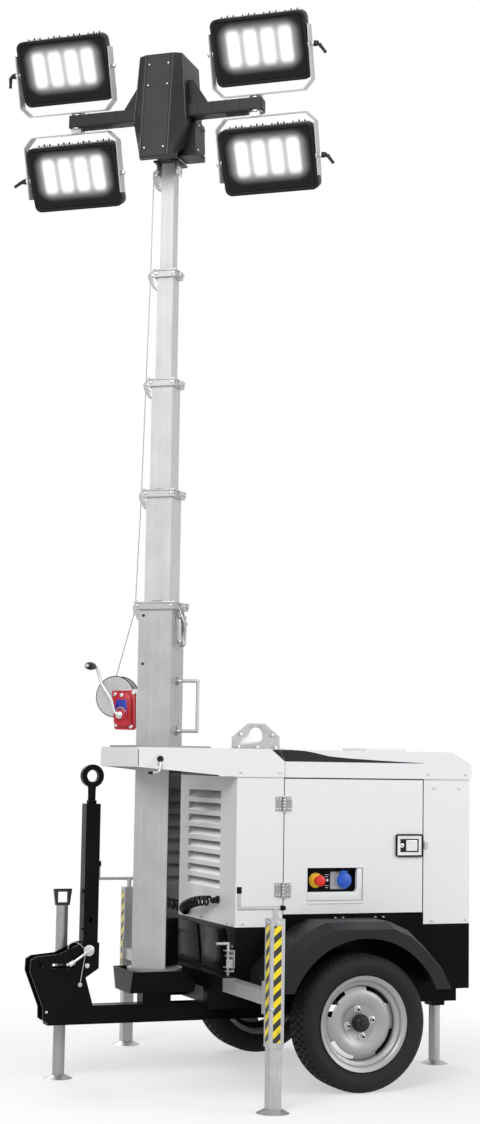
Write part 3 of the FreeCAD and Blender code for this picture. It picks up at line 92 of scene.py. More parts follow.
PAPER_STARTS, PAPER_FULL = 0.9, 2.6   # metres from the machine's middle
floor_paint = bpy.data.materials.new("studio_white")
floor_paint.use_nodes = True
tree = floor_paint.node_tree
rays = wired(tree, "LightPath").outputs
in_view = sums(tree, "MAXIMUM", rays["Is Camera Ray"], rays["Is Glossy Ray"])
ground = tree.nodes["Principled BSDF"]
ground.inputs["Roughness"].default_value = 1
ground.inputs["Specular IOR Level"].default_value = 0
tree.links.new(two_tone(tree, in_view, (0.7, 0.7, 0.7, 1), (1, 1, 1, 1)), ground.inputs["Base Color"])
away = wired(tree, "VectorMath", {0: wired(tree, "TexCoord").outputs["Object"]}, operation="LENGTH")
paper_share = sums(tree, "MULTIPLY", ramp(tree, away.outputs["Value"], PAPER_STARTS, PAPER_FULL, 0.5), in_view)
paper = wired(tree, "Emission", {"Strength": 1})
mixed = wired(tree, "MixShader", {"Fac": paper_share, 1: ground.outputs[0], 2: paper.outputs[0]})
tree.links.new(mixed.outputs[0], tree.nodes["Material Output"].inputs["Surface"])
bpy.ops.object.select_all(action="DESELECT")
bpy.ops.mesh.primitive_plane_add(size=80, location=(0, 0, 0))
floor = bpy.context.object
floor.name = "studio_floor"
floor.data.materials.append(floor_paint)
sky = bpy.data.worlds.new("studio_sky")
bpy.context.scene.world = sky
sky.use_nodes = True
tree = sky.node_tree
ambient = tree.nodes["Background"]
ambient.inputs["Color"].default_value = (0.94, 0.96, 1, 1)
ambient.inputs["Strength"].default_value = 0.45
backdrop = wired(tree, "Background", {"Color": (1, 1, 1, 1), "Strength": 1})
rays = wired(tree, "LightPath").outputs
in_view = sums(tree, "MAXIMUM", sums(tree, "MAXIMUM", rays["Is Camera Ray"], rays["Is Transmission Ray"]),
               rays["Is Glossy Ray"])
mixed = wired(tree, "MixShader", {"Fac": in_view, 1: ambient.outputs[0], 2: backdrop.outputs[0]})
tree.links.new(mixed.outputs[0], tree.nodes["World Output"].inputs["Surface"])
for name, place, aim, size, power in (
        ("key", (5.5, 7.0, 6.5), (0, 0, 1.4), 4.5, 560), ("fill", (-6.5, 6.0, 4.0), (0, 0, 1.2), 5, 270),
        ("rim", (1.0, -7.0, 6.0), (0, 0, 1.8), 5, 230)):
    lamp = bpy.data.lights.new(name, "AREA")
    lamp.shape = "SQUARE"
    lamp.size = size
    lamp.energy = power
    soft = put(name, lamp)
    soft.location = place
    soft.rotation_euler = (Vector(aim) - Vector(place)).to_track_quat("-Z", "Y").to_euler()
SENSOR_HIGH = 36                                 # millimetres
PICTURE_HIGH, FOCAL_LENGTH = 1124, 1882.19       # pixels
EYE_PLACE = spot(3180.28, 7333.74, 1270.98)
view = bpy.data.cameras.new("photo_camera")
view.sensor_fit = "VERTICAL"
view.sensor_height = SENSOR_HIGH
view.lens = SENSOR_HIGH * FOCAL_LENGTH / PICTURE_HIGH
view.clip_end = 100
eye = put("photo_camera", view)
yaw, pitch, roll = math.radians(21.36), math.radians(6.02), math.radians(0.9)
ahead = Vector((-math.sin(yaw) * math.cos(pitch), -math.cos(yaw) * math.cos(pitch), math.sin(pitch)))
right = ahead.cross(Vector((0, 0, 1))).normalized()
up = right.cross(ahead)
right, up = right * math.cos(roll) + up * math.sin(roll), up * math.cos(roll) - right * math.sin(roll)
eye.matrix_world = Matrix.Translation(EYE_PLACE) @ Matrix((right, up, -ahead)).transposed().to_4x4()
bpy.context.scene.camera = eye
bpy.context.scene.view_settings.view_transform = "Standard"

# Ladder frame, axle and drawbar: welded box tube and plate, shot-blasted and
# powder-coated black.
def finish(name, colour, rough, metal=0.0, drift=0.12, drift_size=6.0, grain=0.05, grain_size=900.0, shine=0.5,
           mottle=0.07):
    """Material with a slow change of tone, a fine surface grain and mottled gloss."""
    material = bpy.data.materials.new(name)
    material.use_nodes = True
    tree = material.node_tree
    shader = tree.nodes["Principled BSDF"]
    shader.inputs["Metallic"].default_value = metal
    shader.inputs["Specular IOR Level"].default_value = shine
    where = wired(tree, "TexCoord").outputs["Object"]
    slow = wired(tree, "TexNoise", {"Scale": drift_size, "Detail": 6, "Vector": where}).outputs["Fac"]
    tone = wired(tree, "ValToRGB", {"Fac": slow})
    tone.color_ramp.interpolation = "EASE"
    for stop, place, share in zip(tone.color_ramp.elements, (0.2, 0.8), (1 - drift, 1 + drift)):
        stop.position = place
        stop.color = (*(min(1, c * share) for c in colour), 1)
    gloss = ramp(tree, slow, 0.2, 0.8, max(0.02, rough - mottle), min(1, rough + mottle))
    fine = wired(tree, "TexNoise", {"Scale": grain_size, "Detail": 3, "Vector": where})
    bump = wired(tree, "Bump", {"Strength": grain, "Distance": 0.001, "Height": fine.outputs["Fac"]})
    tree.links.new(tone.outputs["Color"], shader.inputs["Base Color"])
    tree.links.new(gloss, shader.inputs["Roughness"])
    tree.links.new(bump.outputs["Normal"], shader.inputs["Normal"])
    return material


def dress(material, *nodes):
    """Give CAD pieces their finish."""
    for node in nodes:
        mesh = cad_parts[node].data
        mesh.materials.clear()
        mesh.materials.append(material)


chassis_black = finish("chassis_black", (0.004, 0.004, 0.0045), 0.3, drift=0.3, grain=0.1, grain_size=500,
                       shine=0.07)
dress(chassis_black, "chassis_frame", "axle_beam", "drawbar_tube", "drawbar_head", "drawbar_arm", "towing_eye",
      "mast_tray", "rear_leg_clamp")

# Mast tubes, stands and outriggers: hot-dip galvanised steel, with the faint
# crystal pattern of the zinc and the streaks that run along a drawn tube.
def galvanised(name, colour, rough, spangle=0.1, size=60.0, metal=0.4):
    """Zinc finish: crystals of a size laid over the colour by a share, then the streaks."""
    material = finish(name, colour, rough, metal=metal, drift=0.06, drift_size=9, grain=0.06, grain_size=420)
    tree = material.node_tree
    where = wired(tree, "TexCoord").outputs["Object"]
    crystals = wired(tree, "TexVoronoi", {"Scale": size, "Vector": where})
    speckled = two_tone(tree, spangle, tree.nodes["Color Ramp"].outputs["Color"], crystals.outputs["Color"], "OVERLAY")
    stretch = wired(tree, "Mapping", {"Scale": (70, 70, 1.2), "Vector": where})
    drawn = wired(tree, "TexNoise", {"Scale": 1, "Detail": 4, "Vector": stretch.outputs["Vector"]})
    streaked = two_tone(tree, 0.35, speckled, drawn.outputs["Color"], "SOFT_LIGHT")
    grey = wired(tree, "HueSaturation", {"Saturation": 0, "Color": streaked})
    tree.links.new(grey.outputs["Color"], tree.nodes["Principled BSDF"].inputs["Base Color"])
    return material


zinc = galvanised("zinc_coat", (0.45, 0.455, 0.46), 0.36, spangle=0.06, metal=0.55)
dress(zinc, "rear_leg", "outrigger_left", "outrigger_right", "foot_left", "foot_right",
      "outrigger_pin_left", "outrigger_pin_right", "mast_handle", "mast_lock", "lifting_plate",
      "yoke_front_upper", "yoke_front_lower", "yoke_rear_upper", "yoke_rear_lower", "winch_crank")
mast_steel = galvanised("mast_steel", (0.42, 0.425, 0.43), 0.45, spangle=0.03, size=25, metal=0.35)
dress(mast_steel, "mast_section_1")
mast_light = galvanised("mast_light", (0.52, 0.525, 0.53), 0.42, spangle=0.03, size=25, metal=0.35)
dress(mast_light, "mast_section_2", "mast_section_3", "mast_section_4", "mast_section_5")

# Front prop: drawn tube, galvanised, with a black plastic-coated loop on top.
LOOP_STARTS = 0.681   # height where the black coat begins, in metres
prop_zinc = galvanised("prop_zinc", (0.33, 0.335, 0.34), 0.34, spangle=0.05, metal=0.6)
tree = prop_zinc.node_tree
shader = tree.nodes["Principled BSDF"]
height = wired(tree, "SeparateXYZ", {0: wired(tree, "TexCoord").outputs["Object"]}).outputs["Z"]
coated = sums(tree, "GREATER_THAN", height, LOOP_STARTS)
bare_zinc = shader.inputs["Base Color"].links[0].from_socket
tree.links.new(two_tone(tree, coated, bare_zinc, (0.01, 0.01, 0.01, 1)), shader.inputs["Base Color"])
tree.links.new(sums(tree, "MULTIPLY_ADD", coated, -0.6, 0.6), shader.inputs["Metallic"])
dress(prop_zinc, "jack")

# Body: white powder-coated sheet above the belt, black below it, and the finishes
# of what is fixed to it, to the wheels and to the mast.
sheet_white = finish("sheet_white", (0.76, 0.765, 0.77), 0.32, drift=0.006, drift_size=2, grain=0.04, grain_size=700,
                     mottle=0.01)
dress(sheet_white, "canopy_front", "canopy_rear", "canopy_roof", "door_left", "door_right", "roof_hatch")
belt_black = finish("belt_black", (0.004, 0.004, 0.0045), 0.26, drift=0.25, grain=0.05, grain_size=600,
                    shine=0.05)
dress(belt_black, "lower_body", "control_panel")
fender_plastic = finish("fender_plastic", (0.011, 0.0115, 0.012), 0.45, drift=0.15, grain=0.3, grain_size=1500,
                        shine=0.22)
dress(fender_plastic, "fender_left", "fender_right")
rubber = finish("tyre_rubber", (0.009, 0.009, 0.0095), 0.72, drift=0.2, grain=0.3, grain_size=800, shine=0.25)
dress(rubber, "tyre_left", "tyre_right")
rim_silver = finish("rim_silver", (0.36, 0.365, 0.37), 0.4, metal=0.4, drift=0.05, grain=0.05)
dress(rim_silver, "rim_left", "rim_right")
plate_grey = finish("plate_grey", (0.32, 0.33, 0.34), 0.45, drift=0.06)
dress(plate_grey, "mast_plate", "mast_bearing")
head_grey = finish("head_grey", (0.018, 0.019, 0.021), 0.42, drift=0.1, grain=0.1, grain_size=1200, shine=0.25)
dress(head_grey, "mast_head")
lamp_dark = finish("lamp_dark", (0.01, 0.011, 0.012), 0.42, drift=0.1, grain=0.15, grain_size=900, shine=0.2)
dress(lamp_dark, "head_box", "lamp_front_upper", "lamp_front_lower", "lamp_rear_upper", "lamp_rear_lower")
winch_red = finish("winch_red", (0.5, 0.008, 0.022), 0.28, drift=0.08)
dress(winch_red, "winch_frame")
drum_grey = finish("drum_grey", (0.5, 0.505, 0.51), 0.35, metal=0.5, drift=0.05)
dress(drum_grey, "winch_drum")
engine_iron = finish("engine_iron", (0.06, 0.06, 0.065), 0.6, metal=0.4)
dress(engine_iron, "engine_block")
lead_rubber = finish("lead_rubber", (0.004, 0.004, 0.004), 0.22, shine=0.3)
dress(lead_rubber, "curled_lead", "cable_gland_left", "cable_gland_right")
stop_red = finish("stop_red", (0.7, 0.015, 0.01), 0.3, drift=0.05)
dress(stop_red, "emergency_stop")
inlet_blue = finish("inlet_blue", (0.01, 0.09, 0.5), 0.35, drift=0.05)
dress(inlet_blue, "power_inlet")
gasket_black = finish("gasket_black", (0.012, 0.012, 0.012), 0.6, shine=0.2)

# Curled lead between the two glands on the front wall: rubber flex wound tight
# round its own route, and thrust into moulded boots at both ends.
LEAD_ROUTE = ((472, 150, 708), (502, 100, 706), (519, 38, 692), (519, -32, 674), (502, -92, 658), (472, -144, 649))
LEAD_TURNS, LEAD_RADIUS, LEAD_WIRE = 13, 0.0168, 0.005
STRAIGHT_END, SWELL = 0.025, 0.045   # shares of the lead: unwound in its boot, and growing to full width


def flex_line(name, places, steps):
    """Smooth curve along a row of places, in metres."""
    line = bpy.data.curves.new(name, "CURVE")
    line.dimensions = "3D"
    run = line.splines.new("NURBS")
    run.points.add(len(places) - 1)
    for point, place in zip(run.points, places):
        point.co = (*place, 1)
    run.order_u = 3
    run.use_endpoint_u = True
    run.resolution_u = steps
    return line


guide = put("lead_route", flex_line("lead_route", [spot(*place) for place in LEAD_ROUTE], 24))
bpy.context.view_layer.update()
traced = bpy.data.meshes.new_from_object(guide.evaluated_get(bpy.context.evaluated_depsgraph_get()))
stops = [v.co.copy() for v in traced.vertices]
bpy.data.meshes.remove(traced)
bpy.data.objects.remove(guide)
gone = [0.0]
for a, b in zip(stops, stops[1:]):
    gone.append(gone[-1] + (b - a).length)


def along_lead(share):
    """Place and direction of the lead's middle line at a share of its length."""
    want = share * gone[-1]
    k = max(0, min(len(stops) - 2, sum(1 for g in gone[1:] if g < want)))
    t = (want - gone[k]) / (gone[k + 1] - gone[k])
    return stops[k].lerp(stops[k + 1], t), (stops[min(k + 2, len(stops) - 1)] - stops[max(0, k - 1)]).normalized()


curl = []
STEPS = 18 * LEAD_TURNS
for k in range(STEPS + 1):
    share = k / STEPS
    place, way = along_lead(share)
    side_way = way.cross(Vector((0, 0, 1))).normalized()
    over_way = side_way.cross(way)
    swell = min(1.0, share / SWELL, (1 - share) / SWELL)
    swell = swell * swell * (3 - 2 * swell)
    turn = 2 * math.pi * LEAD_TURNS * min(1.0, max(0.0, (share - STRAIGHT_END) / (1 - 2 * STRAIGHT_END)))
    curl.append(place + (side_way * math.cos(turn) + over_way * math.sin(turn)) * LEAD_RADIUS * swell)
lead = flex_line("curled_flex", curl, 3)
lead.bevel_depth = LEAD_WIRE
lead.bevel_resolution = 3
flex = put("curled_flex", lead)
flex.data.materials.append(lead_rubber)
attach(flex, "chassis")
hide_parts("curled_lead")

# Flood lamps: die-cast housings; behind each toughened glass stand four
# upright rows of diodes that glow through it.
MAST = Matrix.Translation(spot(656, 0, 0)) @ Matrix.Rotation(math.radians(-40), 4, "Z")
LAMPS = (("front_upper", 1, 1), ("front_lower", 1, -1), ("rear_upper", -1, 1), ("rear_lower", -1, -1))


def on_mast(x, y, z):
    """A place in the mast's own frame, in millimetres: +Y is where the lamps face."""
    return MAST @ Matrix.Translation(Vector((x, y, z)) / 1000)


BAR_HIGH, PIN_AHEAD, PIN_ALONG, PIN_RISE = 3970, 68, 438, 223   # the lamp bars and the lamps' tilt pins
YOKE_LEAN, LAMP_TILT = math.radians(17), math.radians(-27)


def lamp_place(along, above):
    """Where a lamp's tilt pin is, turned as its housing is."""
    return on_mast(along * PIN_ALONG, PIN_AHEAD + above * PIN_RISE * math.sin(YOKE_LEAN),
                   BAR_HIGH + above * PIN_RISE * math.cos(YOKE_LEAN)) @ Matrix.Rotation(LAMP_TILT, 4, "X")


def open_mesh():
    """Work on the faces of the picked piece."""
    bpy.ops.object.mode_set(mode="EDIT")


def close_mesh():
    """Back to whole pieces."""
    bpy.ops.object.mode_set(mode="OBJECT")


def bake_place():
    """Take the picked piece's place and turn into its mesh."""
    bpy.ops.object.transform_apply(location=True, rotation=True, scale=True)


def clear_pick():
    """Leave edit mode, with nothing selected."""
    if bpy.context.object and bpy.context.object.mode != "OBJECT":
        close_mesh()
    bpy.ops.object.select_all(action="DESELECT")


def pick(piece):
    """Leave one piece selected, as the active one."""
    clear_pick()
    piece.select_set(True)
    bpy.context.view_layer.objects.active = piece


def settle(piece, name, place, material, body):
    """Put a finished mesh at its place, object at the origin, and let it ride on its body."""
    pick(piece)
    piece.name = name
    piece.data.name = name
    piece.matrix_world = place @ piece.matrix_world
    bake_place()
    if material:
        piece.data.materials.clear()
        piece.data.materials.append(material)
    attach(piece, body)
    return piece


def slab(lengths, middle=(0, 0, 0), soften=0.0, steps=2):
    """Block by its three lengths in millimetres, with rounded edges."""
    clear_pick()
    bpy.ops.mesh.primitive_cube_add(size=1)
    piece = bpy.context.object
    open_mesh()
    bpy.ops.transform.resize(value=[v / 1000 for v in lengths])
    bpy.ops.transform.translate(value=[v / 1000 for v in middle])
    if soften:
        bpy.ops.mesh.bevel(offset=soften / 1000, segments=steps, affect="EDGES")
    close_mesh()
    return piece


def barrel(radius, length, middle=(0, 0, 0), axis="z", soften=0.0, sides=32, tip=None):
    """Round bar centred on its middle, in millimetres, with rounded rims."""
    clear_pick()
    turn = {"x": (0, math.pi / 2, 0), "y": (math.pi / 2, 0, 0), "z": (0, 0, 0)}[axis]
    if tip is None:
        bpy.ops.mesh.primitive_cylinder_add(vertices=sides, radius=radius / 1000, depth=length / 1000, rotation=turn)
    else:
        bpy.ops.mesh.primitive_cone_add(vertices=sides, radius1=radius / 1000, radius2=tip / 1000,
                                        depth=length / 1000, rotation=turn)
    piece = bpy.context.object
    piece.location = Vector(middle) / 1000
    bake_place()
    if soften:
        open_mesh()
        bpy.ops.mesh.select_all(action="DESELECT")
        close_mesh()
        for face in piece.data.polygons:
            face.select = len(face.vertices) > 4
        open_mesh()
        bpy.ops.mesh.select_mode(type="FACE")
        bpy.ops.mesh.bevel(offset=soften / 1000, segments=2, affect="EDGES")
        close_mesh()
    bpy.ops.object.shade_smooth_by_angle(angle=math.radians(40))
    return piece


def weld(pieces):
    """Join finished bits into one piece."""
    clear_pick()
    for bit in pieces:
        bit.select_set(True)
    bpy.context.view_layer.objects.active = pieces[0]
    if len(pieces) > 1:
        bpy.ops.object.join()
    return bpy.context.object


def copied(piece):
    """A second piece of the same shape, with a mesh of its own."""
    twin = piece.copy()
    twin.data = piece.data.copy()
    bpy.context.collection.objects.link(twin)
    return twin


def pick_faces(piece, wanted):
    """Leave only the faces that pass a test selected."""
    pick(piece)
    open_mesh()
    bpy.ops.mesh.select_mode(type="FACE")
    bpy.ops.mesh.select_all(action="DESELECT")
    close_mesh()
    for face in piece.data.polygons:
        face.select = wanted(face)


def worked(piece, kind, **settings):
    """Add a modifier with its settings and apply it."""
    pick(piece)
    bpy.ops.object.modifier_add(type=kind)
    for word, value in settings.items():
        setattr(piece.modifiers[-1], word, value)
    bpy.ops.object.modifier_apply(modifier=piece.modifiers[-1].name)
    return piece


def rod(start, end, radius, tip=None, sides=20):
    """Straight round bar between two places in millimetres, tapered if tip is given."""
    a, b = Vector(start), Vector(end)
    bar = barrel(radius, (b - a).length, (0, 0, 0), "z", min(radius, tip or radius) * 0.3, sides,
                 tip if tip is not None else radius * 0.999)
    bar.matrix_world = Matrix.Translation((a + b) / 2000) @ (b - a).to_track_quat("Z", "Y").to_matrix().to_4x4()
    bake_place()
    return bar


def bent_bar(points, radius, bend=12.0, ring=3):
    """Round bar bent along a route of places in millimetres, its corners rounded."""
    places = [Vector(p) / 1000 for p in points]
    line = [places[0]]
    for before, corner, after in zip(places, places[1:], places[2:]):
        back, on = before - corner, after - corner
        reach = min(bend / 1000, 0.48 * back.length, 0.48 * on.length)
        enter, leave = corner + back.normalized() * reach, corner + on.normalized() * reach
        for k in range(6):
            t = k / 5
            line.append(enter * (1 - t) ** 2 + corner * 2 * t * (1 - t) + leave * t ** 2)
    line.append(places[-1])
    shape = bpy.data.curves.new("bent_bar", "CURVE")
    shape.dimensions = "3D"
    shape.bevel_depth = radius / 1000
    shape.bevel_resolution = ring
    shape.use_fill_caps = True
    run = shape.splines.new("POLY")
    run.points.add(len(line) - 1)
    for point, place in zip(run.points, line):
        point.co = (*place, 1)
    pick(put("bent_bar", shape))
    bpy.ops.object.convert(target="MESH")
    bpy.ops.object.shade_smooth_by_angle(angle=math.radians(50))
    return bpy.context.object


def cut_plate(outline, low, high, axis="y", soften=0.0):
    """Plate cut to an outline, in millimetres, from low to high along its axis.

    The outline's pairs are x and z for axis y, y and z for axis x, x and y for axis z."""
    order = {"y": lambda a, b, c: (a, c, b), "x": lambda a, b, c: (c, a, b), "z": lambda a, b, c: (a, b, c)}[axis]
    shape = bmesh.new()
    under = [shape.verts.new(Vector(order(a, b, low)) / 1000) for a, b in outline]
    over = [shape.verts.new(Vector(order(a, b, high)) / 1000) for a, b in outline]
    shape.faces.new(under)
    shape.faces.new(over[::-1])
    for k in range(len(outline)):
        j = (k + 1) % len(outline)
        shape.faces.new((under[j], under[k], over[k], over[j]))
    bmesh.ops.recalc_face_normals(shape, faces=shape.faces)
    mesh = bpy.data.meshes.new("cut_plate")
    shape.to_mesh(mesh)
    shape.free()
    piece = put("cut_plate", mesh)
    if soften:
        worked(piece, "BEVEL", width=soften / 1000, segments=2, limit_method="ANGLE", angle_limit=math.radians(30))
    pick(piece)
    bpy.ops.object.shade_smooth_by_angle(angle=math.radians(35))
    return piece


def round_plane(wide, high, corner, steps=5):
    """Flat rectangle with round corners on the XY plane, in millimetres."""
    clear_pick()
    bpy.ops.mesh.primitive_plane_add(size=1)
    open_mesh()
    bpy.ops.transform.resize(value=(wide / 1000, high / 1000, 1))
    bpy.ops.mesh.bevel(offset=corner / 1000, segments=steps, affect="VERTICES")
    close_mesh()
    return bpy.context.object


glow = bpy.data.materials.new("lamp_glow_glass")
glow.use_nodes = True
tree = glow.node_tree
shader = tree.nodes["Principled BSDF"]
for plug, value in (("Base Color", (0.006, 0.006, 0.007, 1)), ("Roughness", 0.16), ("Specular IOR Level", 0.2),
                    ("Emission Color", (1, 1, 1, 1))):
    shader.inputs[plug].default_value = value
ROWS, ROW_MIDDLE, ROW_END = 5, 0.55, 0.395   # pitches across the glass, middle height and last edge of the rows
LIT_WIDE, LIT_HIGH = 0.29, 0.18              # half sizes of the field lit evenly, as shares of the glass
FADE_WIDE, FADE_HIGH = 4.9, 3.6              # how fast the light falls off past that field
lens = wired(tree, "SeparateXYZ", {0: wired(tree, "UVMap", uv_map="lens").outputs["UV"]}).outputs
across = sums(tree, "ABSOLUTE", sums(tree, "SUBTRACT", lens["X"], 0.5))
column = sums(tree, "PINGPONG", sums(tree, "ADD", sums(tree, "MULTIPLY", lens["X"], ROWS), -0.5), 0.5)
upright = sums(tree, "ABSOLUTE", sums(tree, "SUBTRACT", lens["Y"], ROW_MIDDLE))
strip = sums(tree, "MULTIPLY", ramp(tree, column, 0.02, 0.36),
             sums(tree, "SUBTRACT", 1.0, ramp(tree, upright, 0.2, 0.36)))
strip = sums(tree, "MULTIPLY", strip, sums(tree, "SUBTRACT", 1.0, ramp(tree, across, ROW_END, ROW_END + 0.01)))
side_fall, top_fall = [
    sums(tree, "MULTIPLY", sums(tree, "MAXIMUM", sums(tree, "SUBTRACT", value, lit), 0.0), fade)
    for value, lit, fade in ((across, LIT_WIDE, FADE_WIDE), (upright, LIT_HIGH, FADE_HIGH))]
fall = sums(tree, "SQRT", sums(tree, "ADD", sums(tree, "POWER", side_fall, 2.0), sums(tree, "POWER", top_fall, 2.0)))
halo = sums(tree, "SUBTRACT", 1.0, ramp(tree, fall, 0.0, 1.0))
light = sums(tree, "MULTIPLY_ADD", halo, 0.62, sums(tree, "MULTIPLY", strip, 0.9))
tree.links.new(light, shader.inputs["Emission Strength"])
FACING_OUT = Matrix.Rotation(math.radians(-90), 4, "X")
lever_black = finish("lever_black", (0.012, 0.012, 0.013), 0.45, drift=0.15, shine=0.3)
stud_steel = finish("stud_steel", (0.6, 0.6, 0.61), 0.3, metal=0.8, drift=0.05, grain=0.03)
LEVER_BENDS = {"front_upper": ((24, 0, -3), (32, 4, -48)), "front_lower": ((22, 0, -2), (46, 24, -16)),
               "rear_upper": ((18, 0, -4), (44, 8, -40)), "rear_lower": ((20, 0, -2), (45, 10, -36))}


def lamp_case():
    """Die-cast case: round-cornered box, raised rim round the glass, bulged back."""
    case = round_plane(410, 275, 30, 7)
    worked(case, "SOLIDIFY", thickness=0.05, offset=-1)
    pick_faces(case, lambda face: face.normal.z > 0.9)
    open_mesh()
    bpy.ops.mesh.inset(thickness=0.013, depth=0)
    bpy.ops.mesh.inset(thickness=0.0015, depth=-0.0045)
    close_mesh()
    pick_faces(case, lambda face: face.normal.z < -0.9)
    open_mesh()
    bpy.ops.mesh.inset(thickness=0.03, depth=0.01)
    close_mesh()
    worked(case, "BEVEL", width=0.0025, segments=3, limit_method="ANGLE", angle_limit=math.radians(30))
    pick(case)
    bpy.ops.object.shade_smooth_by_angle(angle=math.radians(40))
    case.matrix_world = Matrix.Translation((0, 0.01, 0)) @ FACING_OUT
    bake_place()
    return case


case = lamp_case()
bits = [case, slab((150, 34, 104), (0, -70, -16), 7, 3), barrel(11, 26, (96, -58, -60), "z", 2, 12)]
for middle in (-138, -46, 46, 138):
    for k, rise in enumerate((1, 8, 3, 9, 2, 6)):
        x = middle + (k - 2.5) * 13
        bits.append(cut_plate([(-42, -118), (-80, -112), (-88, -96), (-88, 96), (-74, 126 + rise * 0.6),
                               (-62, 136 + rise), (-50, 133 + rise * 0.5), (-42, 118)], x - 1.6, x + 1.6, "x"))
for x in (-150, -50, 50, 150):
    for z in (-131, 131):
        bits.append(barrel(2.6, 1.6, (x, 10.4, z), "y", 0.5, 10))
lamp_master = weld(bits)
GLASS_WIDE, GLASS_HIGH = 378, 243
pane = round_plane(GLASS_WIDE, GLASS_HIGH, 16)
while pane.data.uv_layers:
    pane.data.uv_layers.remove(pane.data.uv_layers[0])
uv = pane.data.uv_layers.new(name="lens")
for loop in pane.data.loops:
    corner = pane.data.vertices[loop.vertex_index].co
    uv.data[loop.index].uv = (corner.x * 1000 / GLASS_WIDE + 0.5, 0.5 - corner.y * 1000 / GLASS_HIGH)
worked(pane, "SOLIDIFY", thickness=0.003, offset=-1)
pane.matrix_world = Matrix.Translation((0, 0.008, 0)) @ FACING_OUT
pick(pane)
bake_place()
for name, along, above in LAMPS:
    hang = lamp_place(along, above)
    body = "flood_" + name
    fitted = settle(copied(lamp_master), "lamp_case_" + name, hang, lamp_dark, body)
    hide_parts("lamp_" + name)
    settle(copied(pane), "lamp_glass_" + name, hang, glow, body)
    studs = []
    for side in (-1, 1):
        studs += [barrel(6.5, 28, (side * 218, 0, 0), "x", 1), barrel(12, 6, (side * 225, 0, 0), "x", 1, 6),
                  barrel(14, 3, (side * 207, 0, 0), "x", 0.6)]
    settle(weld(studs), "lamp_studs_" + name, hang, stud_steel, body)
    knee, tip = [Vector((along * (232 + x), y, z)) for x, y, z in LEVER_BENDS[name]]
    start = Vector((along * 229, 0, 0))
    lever = [rod(start, start + Vector((along * 20, 0, 0)), 13, 10), rod(start, knee, 8.5, 7.5),
             rod(knee, tip, 8, 5.5), rod(tip - (tip - knee) * 0.3, tip, 6, 7.5)]
    settle(weld(lever), "lamp_lever_" + name, hang, lever_black, body)
for spare in (lamp_master, pane):
    bpy.data.objects.remove(spare)

# Head of the mast: folded dark cover with a riveted plate over its face, beaded
# edges, straps round the welded lamp bars, and steel clamps under its floor.
plate_dark = finish("plate_dark", (0.024, 0.025, 0.028), 0.34, drift=0.1, grain=0.05, shine=0.35)
edge_dark = finish("edge_dark", (0.075, 0.078, 0.084), 0.38, drift=0.1, shine=0.35)
HEAD_LEAN = math.atan2(53, 462)
FACE = on_mast(0, 178.9, 3974) @ Matrix.Rotation(HEAD_LEAN, 4, "X")
settle(slab((106, 3, 452), soften=1.2), "head_face_plate", FACE, plate_dark, "mast_top")
rivets = [barrel(3.8, 3.4, (x, 2.4, z), "y", 1.2, 16) for x in (-42, 42) for z in (186, 92, -188)]
settle(weld(rivets), "head_rivets", FACE, stud_steel, "mast_top")
folds = []
for side in (-1, 1):
    folds.append(bent_bar([(side * 60.5, 204, 3750), (side * 60.5, 152.5, 4203)], 2.6, ring=2))
    folds.append(bent_bar([(side * 115, 137, 3921), (side * 94, 134, 4203)], 2.2, ring=2))
settle(weld(folds), "head_folds", MAST, edge_dark, "mast_top")
straps = []
for side in (-1, 1):
    for x in (152, 214, 276, 338):
        straps.append(slab((5, 62.4, 56.4), (side * x, 68, 3970), 1.5))
    straps.append(slab((4, 50, 44), (side * 431, 68, 3970), 1.8))
settle(weld(straps), "bar_straps", MAST, lever_black, "mast_top")
conduit = [bent_bar([(side * 105, 97, 3948), (side * 110, 104, 3943), (side * 385, 104, 3943),
                     (side * 396, 96, 3950)], 4) for side in (-1, 1)]
settle(weld(conduit), "bar_conduit", MAST, lever_black, "mast_top")
seams = [slab((2.5, 3, 128), (-134, 61, 3865), 0.8), slab((2, 92, 3), (-139, 4, 3925), 0.8),
         slab((2, 92, 3), (-139, 4, 3805), 0.8)]
knobs = [barrel(4.5, 6, (-139, y, z), "x", 1.2, 12) for y in (-34, 44) for z in (3812, 3918)]
settle(weld(seams), "box_seams", MAST, edge_dark, "mast_top")
settle(weld(knobs), "box_screws", MAST, stud_steel, "mast_top")
for name, x in (("left", 44), ("right", -44)):
    clamp = [cut_plate([(x - 3, -20), (x + 3, -20), (x + 3, 44), (x - 3, 44)], 3722, 3771, "z", 1),
             barrel(6, 12, (x, 34, 3738), "x", 1.5, 6), barrel(6, 12, (x, -8, 3738), "x", 1.5, 6)]
    settle(weld(clamp), "head_clamp_" + name, MAST, stud_steel, "mast_top")
top_cheek = [cut_plate([(28, 3764), (50, 3764), (74, 3742), (74, 3710), (58, 3668), (28, 3660)], y - 2.5, y + 2.5,
                       "y", 1) for y in (-12, 12)]
settle(weld(top_cheek), "top_pulley_cheeks", MAST, zinc, "mast_top")
settle(weld([barrel(6.5, 36, (60, 0, 3728), "y", 1.5, 6), barrel(5.5, 34, (42, 0, 3690), "y", 1.5, 6),
             barrel(4, 34, (40, 0, 3744), "y", 1, 6)]), "top_pulley_bolts", MAST, stud_steel, "mast_top")
settle(barrel(17, 12, (60, 0, 3728), "y", 2, 32), "top_pulley", MAST, lever_black, "mast_top")

# Tyres: moulded rubber, 13-inch, with four grooves round the tread and cross
# sipes out to rounded shoulders.
tread_rubber = finish("tread_rubber", (0.012, 0.012, 0.013), 0.7, drift=0.25, drift_size=14, grain=0.35,
                      grain_size=1400, shine=0.25)
PITCHES = 60
SIDES = (("left", 1), ("right", -1))
WHEEL_OUT, WHEEL_HIGH = 535, 264


